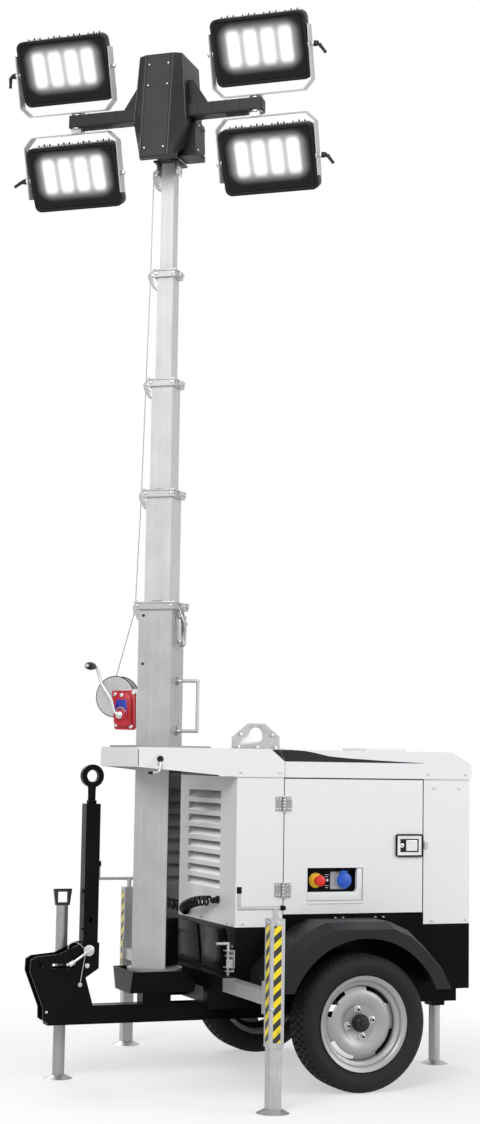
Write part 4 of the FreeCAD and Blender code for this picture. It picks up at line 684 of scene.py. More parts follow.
def tyre_slice():
    """Section from bead to bead: radius and place across the tread, in millimetres."""
    shoulder = [(165, -50), (184, -57), (197, -70), (212, -77), (221, -80), (232, -79), (240, -76), (248, -71),
                (256, -63), (262.5, -52), (263.4, -47)]
    tread = [(263.5, -45), (255.5, -43), (255.5, -37), (263.8, -35), (264, -17), (256, -15), (256, -9), (264, -7),
             (264, 0)]
    half = shoulder + tread
    return half + [(r, -w) for r, w in reversed(half[:-1])]


def spun_tyre():
    """Tyre turned from its section, three strips to a tread pitch."""
    clear_pick()
    bpy.ops.mesh.primitive_circle_add(vertices=3, radius=0.001)
    tyre = bpy.context.object
    tyre.data.clear_geometry()
    ring = [(0.0, r / 1000, w / 1000) for r, w in tyre_slice()]
    tyre.data.from_pydata(ring, [(k, k + 1) for k in range(len(ring) - 1)], [])
    tyre.data.update()
    open_mesh()
    bpy.ops.mesh.select_all(action="SELECT")
    bpy.ops.mesh.spin(steps=PITCHES * 3, angle=2 * math.pi, center=(0, 0, 0), axis=(0, 0, 1))
    bpy.ops.mesh.select_all(action="SELECT")
    bpy.ops.mesh.remove_doubles(threshold=0.0002)
    bpy.ops.mesh.normals_make_consistent(inside=False)
    close_mesh()
    return tyre


def cross_sipes(tyre):
    """Sink every third strip of each rib and of the shoulders, staggered from rib to rib."""
    bm = bmesh.new()
    bm.from_mesh(tyre.data)
    picked = []
    for face in bm.faces:
        middle = face.calc_center_median()
        radius, wide = math.hypot(middle.x, middle.y), abs(middle.z) * 1000
        strip = round((math.atan2(middle.y, middle.x) % (2 * math.pi)) / (2 * math.pi) * PITCHES * 3 - 0.5)
        on_tread = radius > 0.2605 or (46 < wide < 66 and radius > 0.2545)
        if on_tread and strip % 3 == (0 if wide > 35 else 1 if wide < 17 else 2):
            picked.append(face)
    bmesh.ops.inset_individual(bm, faces=picked, thickness=0.0012, depth=0)
    for face in picked:
        for corner in face.verts:
            corner.co -= Vector((corner.co.x, corner.co.y, 0)).normalized() * 0.006
    bm.to_mesh(tyre.data)
    bm.free()


first_tyre = spun_tyre()
cross_sipes(first_tyre)
pick(first_tyre)
bpy.ops.object.shade_smooth_by_angle(angle=math.radians(32))
spare_tyre = copied(first_tyre)
for name, side in SIDES:
    tyre = first_tyre if side > 0 else spare_tyre
    place = Matrix.Translation(spot(0, side * WHEEL_OUT, WHEEL_HIGH)) @ Matrix.Rotation(
        math.radians(-90 * side), 4, "X")
    settle(tyre, "road_tyre_" + name, place, tread_rubber, "wheel_" + name)
    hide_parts("tyre_" + name)

# Road wheels: rolled steel rim with a pressed disc welded in at four tabs, black
# hub cap, four wheel bolts, and the valve through one of the slots.
RIM_LINE = ((183, 66), (184.5, 63), (182, 60), (171, 57.5), (166, 52), (164, 41), (157, 36), (150, 33), (146.5, 26),
            (146, -8), (150, -14), (162, -22), (165, -32), (166, -52), (171, -57.5), (182, -60), (184.5, -63),
            (183, -66))
DISC_LINE = ((14, 19), (24, 19), (66, 19), (72, 22), (86, 30), (104, 33), (117, 31), (126, 27), (137, 21), (148.5, 16))
SLOT_MIDDLES, SLOT_HALF = (54, 144, 234, 324), 24


def spun(line, name, steps=96):
    """Sheet-metal ring turned from its section of radius and depth, in millimetres."""
    mesh = bpy.data.meshes.new(name)
    mesh.from_pydata([(r / 1000, 0, w / 1000) for r, w in line], [(k, k + 1) for k in range(len(line) - 1)], [])
    ring = put(name, mesh)
    pick(ring)
    open_mesh()
    bpy.ops.mesh.select_all(action="SELECT")
    bpy.ops.mesh.spin(steps=steps, angle=2 * math.pi, center=(0, 0, 0), axis=(0, 0, 1))
    bpy.ops.mesh.select_all(action="SELECT")
    bpy.ops.mesh.remove_doubles(threshold=0.0001)
    bpy.ops.mesh.normals_make_consistent(inside=False)
    close_mesh()
    return ring


def gap_of_slot(face):
    """True for the outermost faces of the disc inside a slot."""
    middle = face.center
    turn = math.degrees(math.atan2(middle.y, middle.x)) % 360
    return math.hypot(middle.x, middle.y) > 0.1262 and any(abs(turn - s) < SLOT_HALF for s in SLOT_MIDDLES)


# Painted shade: a near-black material on the inside of the rim barrel behind the disc, so that the slots read dark.
rim_painted_shade = finish("rim_painted_shade", (0.02, 0.019, 0.018), 0.8, drift=0.3, shine=0.1)
barrel_ring = worked(spun(RIM_LINE, "rim_barrel"), "SOLIDIFY", thickness=0.0035, offset=-1)
barrel_ring.data.materials.append(rim_silver)
barrel_ring.data.materials.append(rim_painted_shade)
# The barrel faces behind the disc and inside the rim take the painted shade.
for face in barrel_ring.data.polygons:
    face.material_index = 1 if face.center.z < 0.026 and math.hypot(face.center.x, face.center.y) < 0.162 else 0
disc = spun(DISC_LINE, "rim_disc")
disc.data.materials.append(rim_silver)
pick_faces(disc, gap_of_slot)
open_mesh()
bpy.ops.mesh.delete(type="FACE")
close_mesh()
worked(disc, "SOLIDIFY", thickness=0.004, offset=0)
worked(disc, "BEVEL", width=0.0012, segments=2, limit_method="ANGLE", angle_limit=math.radians(50))
wheel_master = weld([barrel_ring, disc])
bpy.ops.object.shade_smooth_by_angle(angle=math.radians(36))
TURNS = [math.radians(a) for a in (101, 191, 281, 11)]
nuts, ends = [], []
for a in TURNS:
    x, y = 53 * math.cos(a), 53 * math.sin(a)
    nuts += [barrel(14, 3, (x, y, 22), "z", 0.8), barrel(10.5, 12, (x, y, 28), "z", 2, 6, 9.5)]
    ends.append(barrel(5.5, 6, (x, y, 35), "z", 1.5, 16))
nut_master = weld(nuts)
cap_master = weld([barrel(34, 22, (0, 0, 30), "z", 2, 40), barrel(33, 16, (0, 0, 48), "z", 4, 40, 27),
                   barrel(13, 6, (0, 0, 58), "z", 2, 6)] + ends +
                  [rod((-112, 86, 20), (-106, 82, 46), 5.5, 4), barrel(7, 6, (-112, 86, 19), "z", 1.5, 16)])
for name, side in SIDES:
    place = Matrix.Translation(spot(0, side * WHEEL_OUT, WHEEL_HIGH)) @ Matrix.Rotation(
        math.radians(-90 * side), 4, "X") @ Matrix.Rotation(math.pi, 4, "Z")
    body = "wheel_" + name
    wheel = settle(copied(wheel_master), "road_rim_" + name, place, None, body)
    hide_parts("rim_" + name)
    settle(copied(nut_master), "wheel_nuts_" + name, place, stud_steel, body)
    settle(copied(cap_master), "hub_cap_" + name, place, lever_black, body)
for spare in (wheel_master, nut_master, cap_master):
    bpy.data.objects.remove(spare)

# Roof: a black flash painted along each bevel, and thin joints between the
# pressed panels.
AT_AXLE = Matrix.Translation((AXLE, 0, 0))   # sets down what is drawn from the axle line
flash_black = finish("flash_black", (0.006, 0.006, 0.007), 0.3, drift=0.1, shine=0.2)
TOP, EAVE, HALF, INSET = 1318, 1268, 372, 58
FLASH_LOW = ((251, 0.04), (210, 0.04), (160, 0.04), (90, 0.04), (20, 0.04), (-60, 0.04), (-150, 0.04), (-240, 0.04),
             (-330, 0.04), (-372, 0.05))
FLASH_HIGH = ((286, 0.97), (250, 0.97), (200, 0.97), (140, 0.9), (90, 0.72), (45, 0.5), (-43, 0.36), (-150, 0.25),
              (-260, 0.15), (-372, 0.07))


def on_bevel(x, up, side):
    """Place on the roof's side bevel, as a share of its height, 0.4 mm proud."""
    y = HALF - INSET * up
    z = EAVE + (TOP - EAVE) * up
    away = Vector((0, (TOP - EAVE) * side, INSET)).normalized() * 0.4
    return spot(x + away.x, y * side + away.y, z + away.z)


for name, side in SIDES:
    corners = [on_bevel(x, u, side) for x, u in FLASH_LOW + FLASH_HIGH]
    count = len(FLASH_LOW)
    faces = [(k, k + 1, count + k + 1, count + k) for k in range(count - 1)]
    if side > 0:
        faces = [face[::-1] for face in faces]
    mesh = bpy.data.meshes.new("flash")
    mesh.from_pydata([tuple(v) for v in corners], [], faces)
    settle(put("flash", mesh), "roof_flash_" + name, Matrix.Identity(4), flash_black, "chassis")
joint_grey = finish("joint_grey", (0.16, 0.16, 0.165), 0.6, drift=0.1)
joints = []
for side in (-1, 1):
    joints.append(slab((1.6, 0.8, 60), (251, side * 372.2, 1237), 0.2))
    joints.append(rod((250.6, side * 372.3, 1268), (250.6, side * 314.4, 1318.2), 0.8))
joints.append(slab((1.4, 628, 0.8), (250.6, 0, 1318.2), 0.2))
settle(weld(joints), "roof_joints", AT_AXLE, joint_grey, "chassis")
nose_joint = [rod((825.5, side * 246.8, 1243), (825.5, side * 246.8, 1309), 1.5) for side in (-1, 1)]
nose_joint.append(slab((2.6, 476, 1), (817, 0, 1318.2), 0.3))
settle(weld(nose_joint), "nose_joint", AT_AXLE, gasket_black, "chassis")

# Lifting bracket: eight-sided steel plate with one large eye, bolted to an angle
# on the roof. The plate is cut to its outline and its eye bored through.
eyeplate = cut_plate([(123, 1319), (335, 1319), (335, 1372), (269, 1426), (189, 1426), (123, 1372)], -5, 5)
bore = barrel(31, 40, (229, 0, 1379), "y", sides=64)
worked(eyeplate, "BOOLEAN", operation="DIFFERENCE", object=bore)
bpy.data.objects.remove(bore)
worked(eyeplate, "BEVEL", width=0.0008, segments=2, limit_method="ANGLE", angle_limit=math.radians(40))
settle(eyeplate, "lifting_bracket", AT_AXLE, zinc, "chassis")
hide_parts("lifting_plate")
base = [slab((236, 34, 5), (229, 19, 1320.5), 1), slab((212, 4, 16), (229, 7, 1328), 1)]
settle(weld(base), "lifting_angle", AT_AXLE, zinc, "chassis")
bolts = [barrel(8, 6, (x, 8, 1379), "y", 1.5, 6) for x in (158, 300)]
bolts += [barrel(7, 7, (x, 25, 1326), "z", 1.5, 6) for x in (146, 229, 312)]
bolts += [barrel(5, 4, (x, 11, 1329), "y", 1, 6) for x in (146, 229, 312)]
settle(weld(bolts), "lifting_bolts", AT_AXLE, stud_steel, "chassis")

# Mast turn lock: a cranked pin with a black tip, held in a small bracket under a
# rubber boot on the side of the roof's nose.
lock = [slab((22, 5, 26), (745, 276, 1262), 2), bent_bar([(745, 272, 1262), (748, 292, 1260), (752, 294, 1224),
                                                         (766, 294, 1219), (782, 292, 1218)], 4.5, 10)]
settle(weld(lock), "turn_lock_handle", AT_AXLE, stud_steel, "chassis")
boot = [barrel(13, 9, (745, 278, 1272), "y", 3, 28), rod((780, 292, 1218), (798, 291, 1217.5), 6)]
settle(weld(boot), "turn_lock_boot", AT_AXLE, gasket_black, "chassis")

# Warning tape: yellow and black diagonal film stuck along the two outer faces
# of each outrigger leg, under a cap-head screw.
tape_film = bpy.data.materials.new("tape_film")
tape_film.use_nodes = True
tree = tape_film.node_tree
shader = tree.nodes["Principled BSDF"]
shader.inputs["Roughness"].default_value = 0.4
strip = wired(tree, "SeparateXYZ", {0: wired(tree, "UVMap", uv_map="tape").outputs["UV"]}).outputs
slant = sums(tree, "PINGPONG", sums(tree, "MULTIPLY_ADD", strip["X"], -0.5,
                                    sums(tree, "MULTIPLY", strip["Y"], 8.0)), 0.5)
bands = two_tone(tree, ramp(tree, slant, 0.235, 0.265), (0.02, 0.02, 0.02, 1), (0.86, 0.68, 0.01, 1))
scuff = wired(tree, "TexNoise", {"Scale": 40, "Detail": 5, "Vector": wired(tree, "TexCoord").outputs["Object"]})
worn = two_tone(tree, ramp(tree, scuff.outputs["Fac"], 0.55, 0.7), bands, (0.75, 0.74, 0.7, 1), "MULTIPLY")
tree.links.new(worn, shader.inputs["Base Color"])


def tape(name, place, body, wide=30, high=420):
    """A length of film on a leg, in millimetres, its bands slanting across."""
    clear_pick()
    bpy.ops.mesh.primitive_grid_add(x_subdivisions=1, y_subdivisions=1, size=1)
    film = bpy.context.object
    film.data.uv_layers[0].name = "tape"
    open_mesh()
    bpy.ops.transform.resize(value=(wide / 1000, high / 1000, 1))
    close_mesh()
    worked(film, "SOLIDIFY", thickness=0.0003, offset=0)
    return settle(film, name, place, tape_film, body)


def facing(place, way):
    """Matrix at a place whose local Z looks along way and local Y stays upright."""
    z = Vector(way).normalized()
    y = Vector((0, 0, 1)) if abs(z.z) < 0.9 else Vector((1, 0, 0))
    x = y.cross(z).normalized()
    return Matrix.Translation(place) @ Matrix((x, z.cross(x), z)).transposed().to_4x4()


def cap_screw(radius=6.0, high=5.0):
    """Cap-head screw with its hex socket, standing on the XY plane."""
    clear_pick()
    bpy.ops.mesh.primitive_cylinder_add(vertices=24, radius=radius / 1000, depth=high / 1000,
                                        location=(0, 0, high / 2000))
    head = bpy.context.object
    bake_place()
    pick_faces(head, lambda face: face.normal.z > 0.9)
    open_mesh()
    bpy.ops.mesh.inset(thickness=radius * 0.14 / 1000, depth=0)
    bpy.ops.transform.translate(value=(0, 0, high * 0.12 / 1000))
    bpy.ops.mesh.inset(thickness=radius * 0.3 / 1000, depth=0)
    bpy.ops.mesh.inset(thickness=radius * 0.02 / 1000, depth=-high * 0.5 / 1000)
    close_mesh()
    bpy.ops.object.shade_smooth_by_angle(angle=math.radians(40))
    return head


bolt_steel = finish("bolt_steel", (0.6, 0.6, 0.61), 0.3, metal=0.9, drift=0.05, grain=0.03)
screw_master = cap_screw()


def screws(name, places, body, scale=1.0, material=None):
    """A set of screws on one body: each place is a point and the way it faces."""
    made = []
    for point, way in places:
        bit = copied(screw_master)
        bit.matrix_world = facing(point, way) @ Matrix.Scale(scale, 4)
        pick(bit)
        bake_place()
        made.append(bit)
    return settle(weld(made), name, Matrix.Identity(4), material or bolt_steel, body)


for name, side in SIDES:
    body = "beam_" + name
    outer = side * (862 + 28 + 0.2)
    tape("tape_side_" + name, facing(spot(488, outer, 462), (0, side, 0)), body)
    tape("tape_front_" + name, facing(spot(516.2, side * 862, 462), (1, 0, 0)), body)
    screws("leg_screws_" + name, [(spot(488, side * 890, 682), (0, side, 0)),
                                  (spot(516, side * 862, 682), (1, 0, 0)),
                                  (spot(506, side * 890, 372), (0, side, 0))], body)
    grips = [barrel(9.5, 24, (632, side * 862, 800), soften=2), barrel(9, 22, (460, side * 862, 734), "x", soften=2)]
    settle(weld(grips), "crank_grips_" + name, AT_AXLE, chassis_black, body)

# Door hinges: galvanised leaves, four screws in each, round a ribbed knuckle.
hinge_zinc = galvanised("hinge_zinc", (0.3, 0.3, 0.3), 0.3, metal=0.75)
for name, side in SIDES:
    door, y = "side_door_" + name, 366
    for level, z in (("low", 763), ("high", 1102)):
        leaf = slab((34, 3, 56), (270, side * (y + 1.5), z), 1.0)
        settle(leaf, "hinge_leaf_%s_%s" % (level, name), AT_AXLE, hinge_zinc, "chassis")
        over = slab((30, 2.4, 56), (235, side * (y + 5.0), z), 1.0)
        settle(over, "hinge_wing_%s_%s" % (level, name), AT_AXLE, hinge_zinc, door)
        for word, body, first in (("fixed", "chassis", 0), ("moving", door, 1)):
            ribs = [barrel(7.2, 9.5, (252, side * 373, z - 24.5 + 12.2 * k), soften=1.2) for k in range(first, 5, 2)]
            settle(weld(ribs), "hinge_knuckle_%s_%s_%s" % (word, level, name), AT_AXLE, hinge_zinc,
                   body)
        for word, body, proud, rows in (("fixed", "chassis", 3, (268, 281)), ("wing", door, 6.2, (236, 225))):
            screws("hinge_screws_%s_%s_%s" % (word, level, name),
                   [(spot(x, side * (y + proud), z + up), (0, side, 0)) for up in (-20, 20) for x in rows], body, 0.6)

# Paddle latches: a pressed bright plate in a black gasket, with a lifting
# paddle and a round keyhole.
latch_steel = finish("latch_steel", (0.72, 0.72, 0.73), 0.22, metal=0.95, drift=0.04, grain=0.02)
for name, side in SIDES:
    door = "side_door_" + name
    x, z = -304, 937
    rim = slab((122, 5, 92), (x, side * 368, z), 10, 3)
    settle(rim, "latch_gasket_" + name, AT_AXLE, gasket_black, door)
    plate = slab((108, 4, 78), (x, side * 371, z), 0)
    pick_faces(plate, lambda face: face.normal.y * side > 0.9)
    open_mesh()
    bpy.ops.mesh.inset(thickness=0.012, depth=0)
    bpy.ops.mesh.inset(thickness=0.003, depth=-0.006)
    close_mesh()
    paddle = slab((52, 5, 44), (x - 10, side * 371.5, z), 3, 2)
    keyhole = barrel(9, 5, (x + 34, side * 370.5, z), "y", 1)
    slit = slab((10, 6, 2.4), (x + 34, side * 371.4, z))
    settle(weld([plate, paddle, keyhole]), "latch_" + name, AT_AXLE, latch_steel, door)
    settle(slit, "latch_slit_" + name, AT_AXLE, gasket_black, door)
    hook = slab((16, 6, 30), (-380, side * 369, 937), 2.5, 2)
    settle(hook, "door_stop_" + name, AT_AXLE, zinc, "chassis")

# Control window: folded edge round the opening in the left door, the black
# panel with a yellow guard plate, and the blue socket's hinged lid.


def border(wide, high, corner, band, thick):
    """Flat rectangular ring with round corners, standing on the XY plane, in millimetres."""
    ring = round_plane(wide, high, corner)
    open_mesh()
    bpy.ops.mesh.select_mode(type="FACE")
    bpy.ops.mesh.select_all(action="SELECT")
    bpy.ops.mesh.inset(thickness=band / 1000, depth=0)
    bpy.ops.mesh.delete(type="FACE")
    close_mesh()
    worked(ring, "SOLIDIFY", thickness=thick / 1000, offset=1)
    worked(ring, "BEVEL", width=min(thick, band) * 0.25 / 1000, segments=2)
    bpy.ops.object.shade_smooth_by_angle(angle=math.radians(40))
    return ring


settle(border(252, 138, 8, 4, 1.2), "window_edge", facing(spot(24, 366.1, 784), (0, 1, 0)), sheet_white,
       "side_door_left")
round_corner = [(-58 - 16 * math.sin(a * math.pi / 12), 769 - 16 * math.cos(a * math.pi / 12)) for a in range(7)]
tray = cut_plate([(-97, 848), (-97, 720), (145, 720), (145, 753)] + round_corner + [(-74, 848)], 342, 363, "y", 2)
settle(tray, "window_tray", AT_AXLE, sheet_white, "side_door_left")
settle(slab((252, 4, 4), (24, 367, 709), 1.2), "window_drip", AT_AXLE, sheet_white,
       "side_door_left")
guard_yellow = finish("guard_yellow", (0.85, 0.5, 0.01), 0.4, drift=0.05)
guard = weld([barrel(30, 4, (96, 334.5, 798), "y", 1.2, 48), barrel(24, 6, (95, 339, 798), "y", 1.5, 48, 20)])
settle(guard, "stop_guard", AT_AXLE, guard_yellow, "chassis")
button = weld([barrel(22, 12, (86, 358, 797), "y", 4, 40), barrel(12, 20, (88, 345, 797), "y", 1, 32)])
settle(button, "stop_mushroom", AT_AXLE, stop_red, "chassis")
socket_grey = finish("socket_grey", (0.36, 0.37, 0.38), 0.45, drift=0.06)
settle(weld([slab((66, 7, 72), (0, 336, 797), 5, 3), barrel(31, 12, (-18, 343, 798), "y", 2, 40)]), "socket_plate",
       AT_AXLE, socket_grey, "chassis")
lid = weld([barrel(28, 7, (-21, 358, 799), "y", 2.5, 48), barrel(20, 4, (-21, 362, 799), "y", 1.5, 48),
            slab((30, 14, 12), (-19, 352, 831), 3), slab((12, 10, 8), (-21, 356, 768), 2)])
settle(lid, "socket_lid", AT_AXLE, inlet_blue, "chassis")
white_ink = finish("white_ink", (0.7, 0.7, 0.7), 0.5, drift=0.03)
marks = [slab((w, 1, 2.2), (46, 332.5, z), 0.4) for w, z in ((18, 820), (14, 812), (18, 776), (12, 768))]
marks.append(barrel(5, 2, (44, 333, 798), "y", 0.6, 20))
settle(weld(marks), "panel_marks", AT_AXLE, white_ink, "chassis")

# Body rivets: pan heads where the corner panels and the roof meet the frame,
# and four on each fender's flange.
for name, side in SIDES:
    wall = [(spot(x, side * 366.3, z), (0, side, 0)) for x, z in ((-410, 634), (-565, 634), (-417, 1171), (-532, 1171),
                                                                (422, 634), (300, 634))]
    eave = [(spot(x, side * 372.3, z), (0, side, 0)) for x, z in ((441, 1226), (274, 1226), (-389, 1228), (-561, 1228))]
    screws("body_rivets_" + name, wall + eave, "chassis", 0.85)
    lip = [(spot(x, side * 384, 651.5), (0, 0, 1)) for x in (30, -4, -146, -182)]
    screws("fender_screws_" + name, lip, "chassis", 0.8)
screws("front_rivets", [(spot(452.3, y, 630), (1, 0, 0)) for y in (-330, -170, -13, 287, 340)], "chassis", 0.85)
screws("rear_rivets", [(spot(-582.3, y, z), (-1, 0, 0)) for y in (-330, -110, 110, 330) for z in (634, 1180)],
       "chassis", 0.85)

# Air inlet: a black panel behind the louvres, painted shade that makes the openings read dark.
louvre_shade_black = finish("louvre_shade_black", (0.006, 0.006, 0.006), 0.95, drift=0.5, drift_size=90, grain=0.6, grain_size=260,
                    shine=0.05)
shade_panel = slab((6, 396, 430), (421, 0, 958), 2, 1)
worked(shade_panel, "SUBSURF", levels=1, render_levels=1, subdivision_type="SIMPLE")
settle(shade_panel, "louvre_shade_panel", AT_AXLE, louvre_shade_black, "chassis")

# Glands of the curled lead: a hex nut on the wall and a short tapered boot.
for name, end, start in (("left", LEAD_ROUTE[0], (453, 182, 715)), ("right", LEAD_ROUTE[-1], (453, -178, 643))):
    nut = barrel(17, 9, (457, start[1], start[2]), "x", 2, 6)
    boot = rod((455, start[1], start[2]), end, 13.5, 11)
    fitted = settle(weld([nut, boot]), "lead_gland_" + name, AT_AXLE, gasket_black, "chassis")
    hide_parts("cable_gland_" + name)

# Winch: red cast gearbox with a raised cover and cap screws, a plain blue label,
# zinc side plates that carry the drum, and a bent crank with a black knob.
def in_mast(piece, name, material, body):
    """Settle a piece that is drawn in the mast's own frame."""
    return settle(piece, name, MAST, material, body)


def eased(outline, radius=6.0, steps=3):
    """Outline with its corners rounded."""
    soft = []
    for k, corner in enumerate(outline):
        corner = Vector(corner)
        back, on = Vector(outline[k - 1]) - corner, Vector(outline[(k + 1) % len(outline)]) - corner
        reach = min(radius, 0.45 * back.length, 0.45 * on.length)
        enter, leave = corner + back.normalized() * reach, corner + on.normalized() * reach
        for j in range(steps + 1):
            t = j / steps
            soft.append(tuple(enter * (1 - t) ** 2 + corner * 2 * t * (1 - t) + leave * t ** 2))
    return soft


housing = [cut_plate(eased([(196, 1549), (98, 1551), (90, 1540), (88, 1388), (180, 1390)], 9), 38, 47, "y", 2),
           cut_plate(eased([(170, 1541), (118, 1541), (101, 1512), (99, 1412), (120, 1402), (166, 1404), (178, 1440)],
                           12), 46, 62, "y", 4),
           barrel(24, 8, (148, 64, 1448), "y", 3, 40)]
housing += [cut_plate([(x - 2, 1424), (x + 2, 1424), (x + 2, 1516), (x - 2, 1516)], 61, 66, "y", 1.2)
            for x in (104, 111, 118)]
gear_case = in_mast(weld(housing), "winch_gear_case", winch_red, "mast_base")
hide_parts("winch_frame")
cheeks = [cut_plate(eased([(73, 1396), (150, 1396), (206, 1500), (206, 1548), (180, 1556), (73, 1556)], 12), y - 2,
                    y + 2, "y", 0.8) for y in (35.5, -35.5)]
cheeks.append(slab((6, 92, 190), (76, 0, 1476), 1.5))
in_mast(weld(cheeks), "winch_side_plates", zinc, "mast_base")
in_mast(weld([barrel(8, 7, (x, y, z), "y", 2, 24) for x, y, z in
              ((178, 49, 1534), (143, 64, 1530), (170, 49, 1408), (106, 49, 1402), (98, 49, 1540))]),
        "winch_screws", stud_steel, "mast_base")
in_mast(weld([barrel(6, 6, (82, y, z), "x", 1.5, 6) for y in (-38, 38) for z in (1400, 1552)]), "winch_mount_bolts",
        stud_steel, "mast_base")
label_blue = finish("label_blue", (0.01, 0.03, 0.36), 0.35, drift=0.04)
label_yellow = finish("label_yellow", (0.85, 0.42, 0.02), 0.35, drift=0.04)
in_mast(cut_plate(eased([(167, 1512), (122, 1512), (118, 1462), (132, 1448), (172, 1452)], 5), 62, 62.8, "y", 0.2),
        "winch_label", label_blue, "mast_base")
band = bent_bar([(172 - 48 * k / 10, 63, 1462 + 18 * math.sin(math.pi * k / 10)) for k in range(11)], 2.2, 2, 2)
in_mast(band, "winch_label_band", label_yellow, "mast_base")
crank = [bent_bar([(148, 74, 1448), (170, 78, 1462), (183, 82, 1515), (226, 84, 1577), (247, 86, 1640),
                   (252, 100, 1646), (254, 176, 1646)], 7, 10, 4),
         barrel(15, 12, (148, 74, 1448), "y", 3, 32), barrel(9, 12, (148, 80, 1448), "y", 2, 6)]
swung = in_mast(weld(crank), "winch_hand_crank", stud_steel, "mast_base")
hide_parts("winch_crank")
clear_pick()
bpy.ops.mesh.primitive_uv_sphere_add(segments=32, ring_count=20, radius=1)
knob = bpy.context.object
open_mesh()
bpy.ops.transform.resize(value=(0.0165, 0.05, 0.0165))
close_mesh()
for corner in knob.data.vertices:
    if abs(corner.co.y) > 0.034:
        corner.co.y = math.copysign(0.034 + (abs(corner.co.y) - 0.034) * 0.7, corner.co.y)
knob.location = (0.257, 0.13, 1.646)
bake_place()
bpy.ops.object.shade_smooth()
in_mast(knob, "crank_knob", lever_black, "mast_base")

# Steel rope: layers wound on the drum, then one taut strand from the drum to the
# first pulley and on from pulley to pulley up to the head.
rope_wire = galvanised("rope_wire", (0.4, 0.4, 0.41), 0.45)
DRUM_AHEAD, DRUM_HIGH = 187, 1525


def hoop(radius, wire, middle, sides=48, turn=(0, 0, 0)):
    """Ring of round wire about its middle, in millimetres."""
    clear_pick()
    bpy.ops.mesh.primitive_torus_add(major_radius=radius / 1000, minor_radius=wire / 1000, major_segments=sides,
                                     minor_segments=8, rotation=turn, location=Vector(middle) / 1000)
    bake_place()
    return bpy.context.object


ON_DRUM = (math.pi / 2, 0, 0)
turns = [hoop(47, 3, (DRUM_AHEAD, 6 * k - 24, DRUM_HIGH), turn=ON_DRUM) for k in range(9)]
disc_rims = [hoop(83.5, 2.2, (DRUM_AHEAD, y, DRUM_HIGH), 64, ON_DRUM) for y in (-28.5, 28.5)]
in_mast(weld(disc_rims), "drum_rims", gasket_black, "mast_base")
in_mast(weld(turns), "wound_rope", rope_wire, "mast_base")


def strand(low, high, radius=2.2, parts=12):
    """A straight taut strand of twisted wire between two places."""
    a, b = Vector(low) / 1000, Vector(high) / 1000
    clear_pick()
    bpy.ops.mesh.primitive_cylinder_add(vertices=8, radius=radius / 1000, depth=(b - a).length)
    bar = bpy.context.object
    bar.matrix_world = Matrix.Translation((a + b) / 2) @ (b - a).to_track_quat("Z", "Y").to_matrix().to_4x4()
    bake_place()
    open_mesh()
    bpy.ops.mesh.select_all(action="SELECT")
    bpy.ops.mesh.subdivide(number_cuts=parts)
    close_mesh()
    bpy.ops.object.shade_smooth_by_angle(angle=math.radians(60))
    return bar


TOPS = (1908, 2374, 2840, 3306, 3772)
WIDE = (145, 112, 92, 71, 56)
BODIES = ("mast_base", "mast_second", "mast_third", "mast_fourth", "mast_top")
PULLEYS = [(WIDE[k] / 2 + 30, 0, TOPS[k] - 12) for k in range(4)] + [(60, 0, 3728)]
in_mast(strand((208, 0, 1566), (PULLEYS[0][0] + 14, 0, PULLEYS[0][2] - 6)), "winch_rope", rope_wire, "mast_base")
for k in range(4):
    low, high = Vector(PULLEYS[k]) + Vector((15, 0, 6)), Vector(PULLEYS[k + 1]) + Vector((15, 0, -6))
    line = strand(low, high)
    line.name = "mast_rope_%d" % (k + 1)
    line.data.materials.append(rope_wire)
    line.data.transform(MAST)
    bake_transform(line)
for k in range(4):
    x, z = PULLEYS[k][0], PULLEYS[k][2]
    side_plates = [cut_plate(eased([(WIDE[k] / 2 + 1, z + 16), (x + 8, z + 16), (x + 20, z + 4), (x + 18, z - 16),
                                    (x - 6, z - 58), (WIDE[k] / 2 + 1, z - 62)], 5), y - 2, y + 2, "y", 0.8)
                   for y in (-16.5, 16.5)]
    in_mast(weld(side_plates), "pulley_plates_%d" % (k + 1), zinc, BODIES[k])
    in_mast(barrel(17, 16, (x, 0, z), "y", 2, 32), "pulley_%d" % (k + 1), lever_black, BODIES[k])
    in_mast(weld([barrel(7, 46, (x, 0, z), "y", 1.5, 6), barrel(5, 42, (x - 12, 0, z - 24), "y", 1.2, 6),
                  barrel(5, 42, (x - 16, 0, z - 46), "y", 1.2, 6)]), "pulley_bolts_%d" % (k + 1), bolt_steel, BODIES[k])

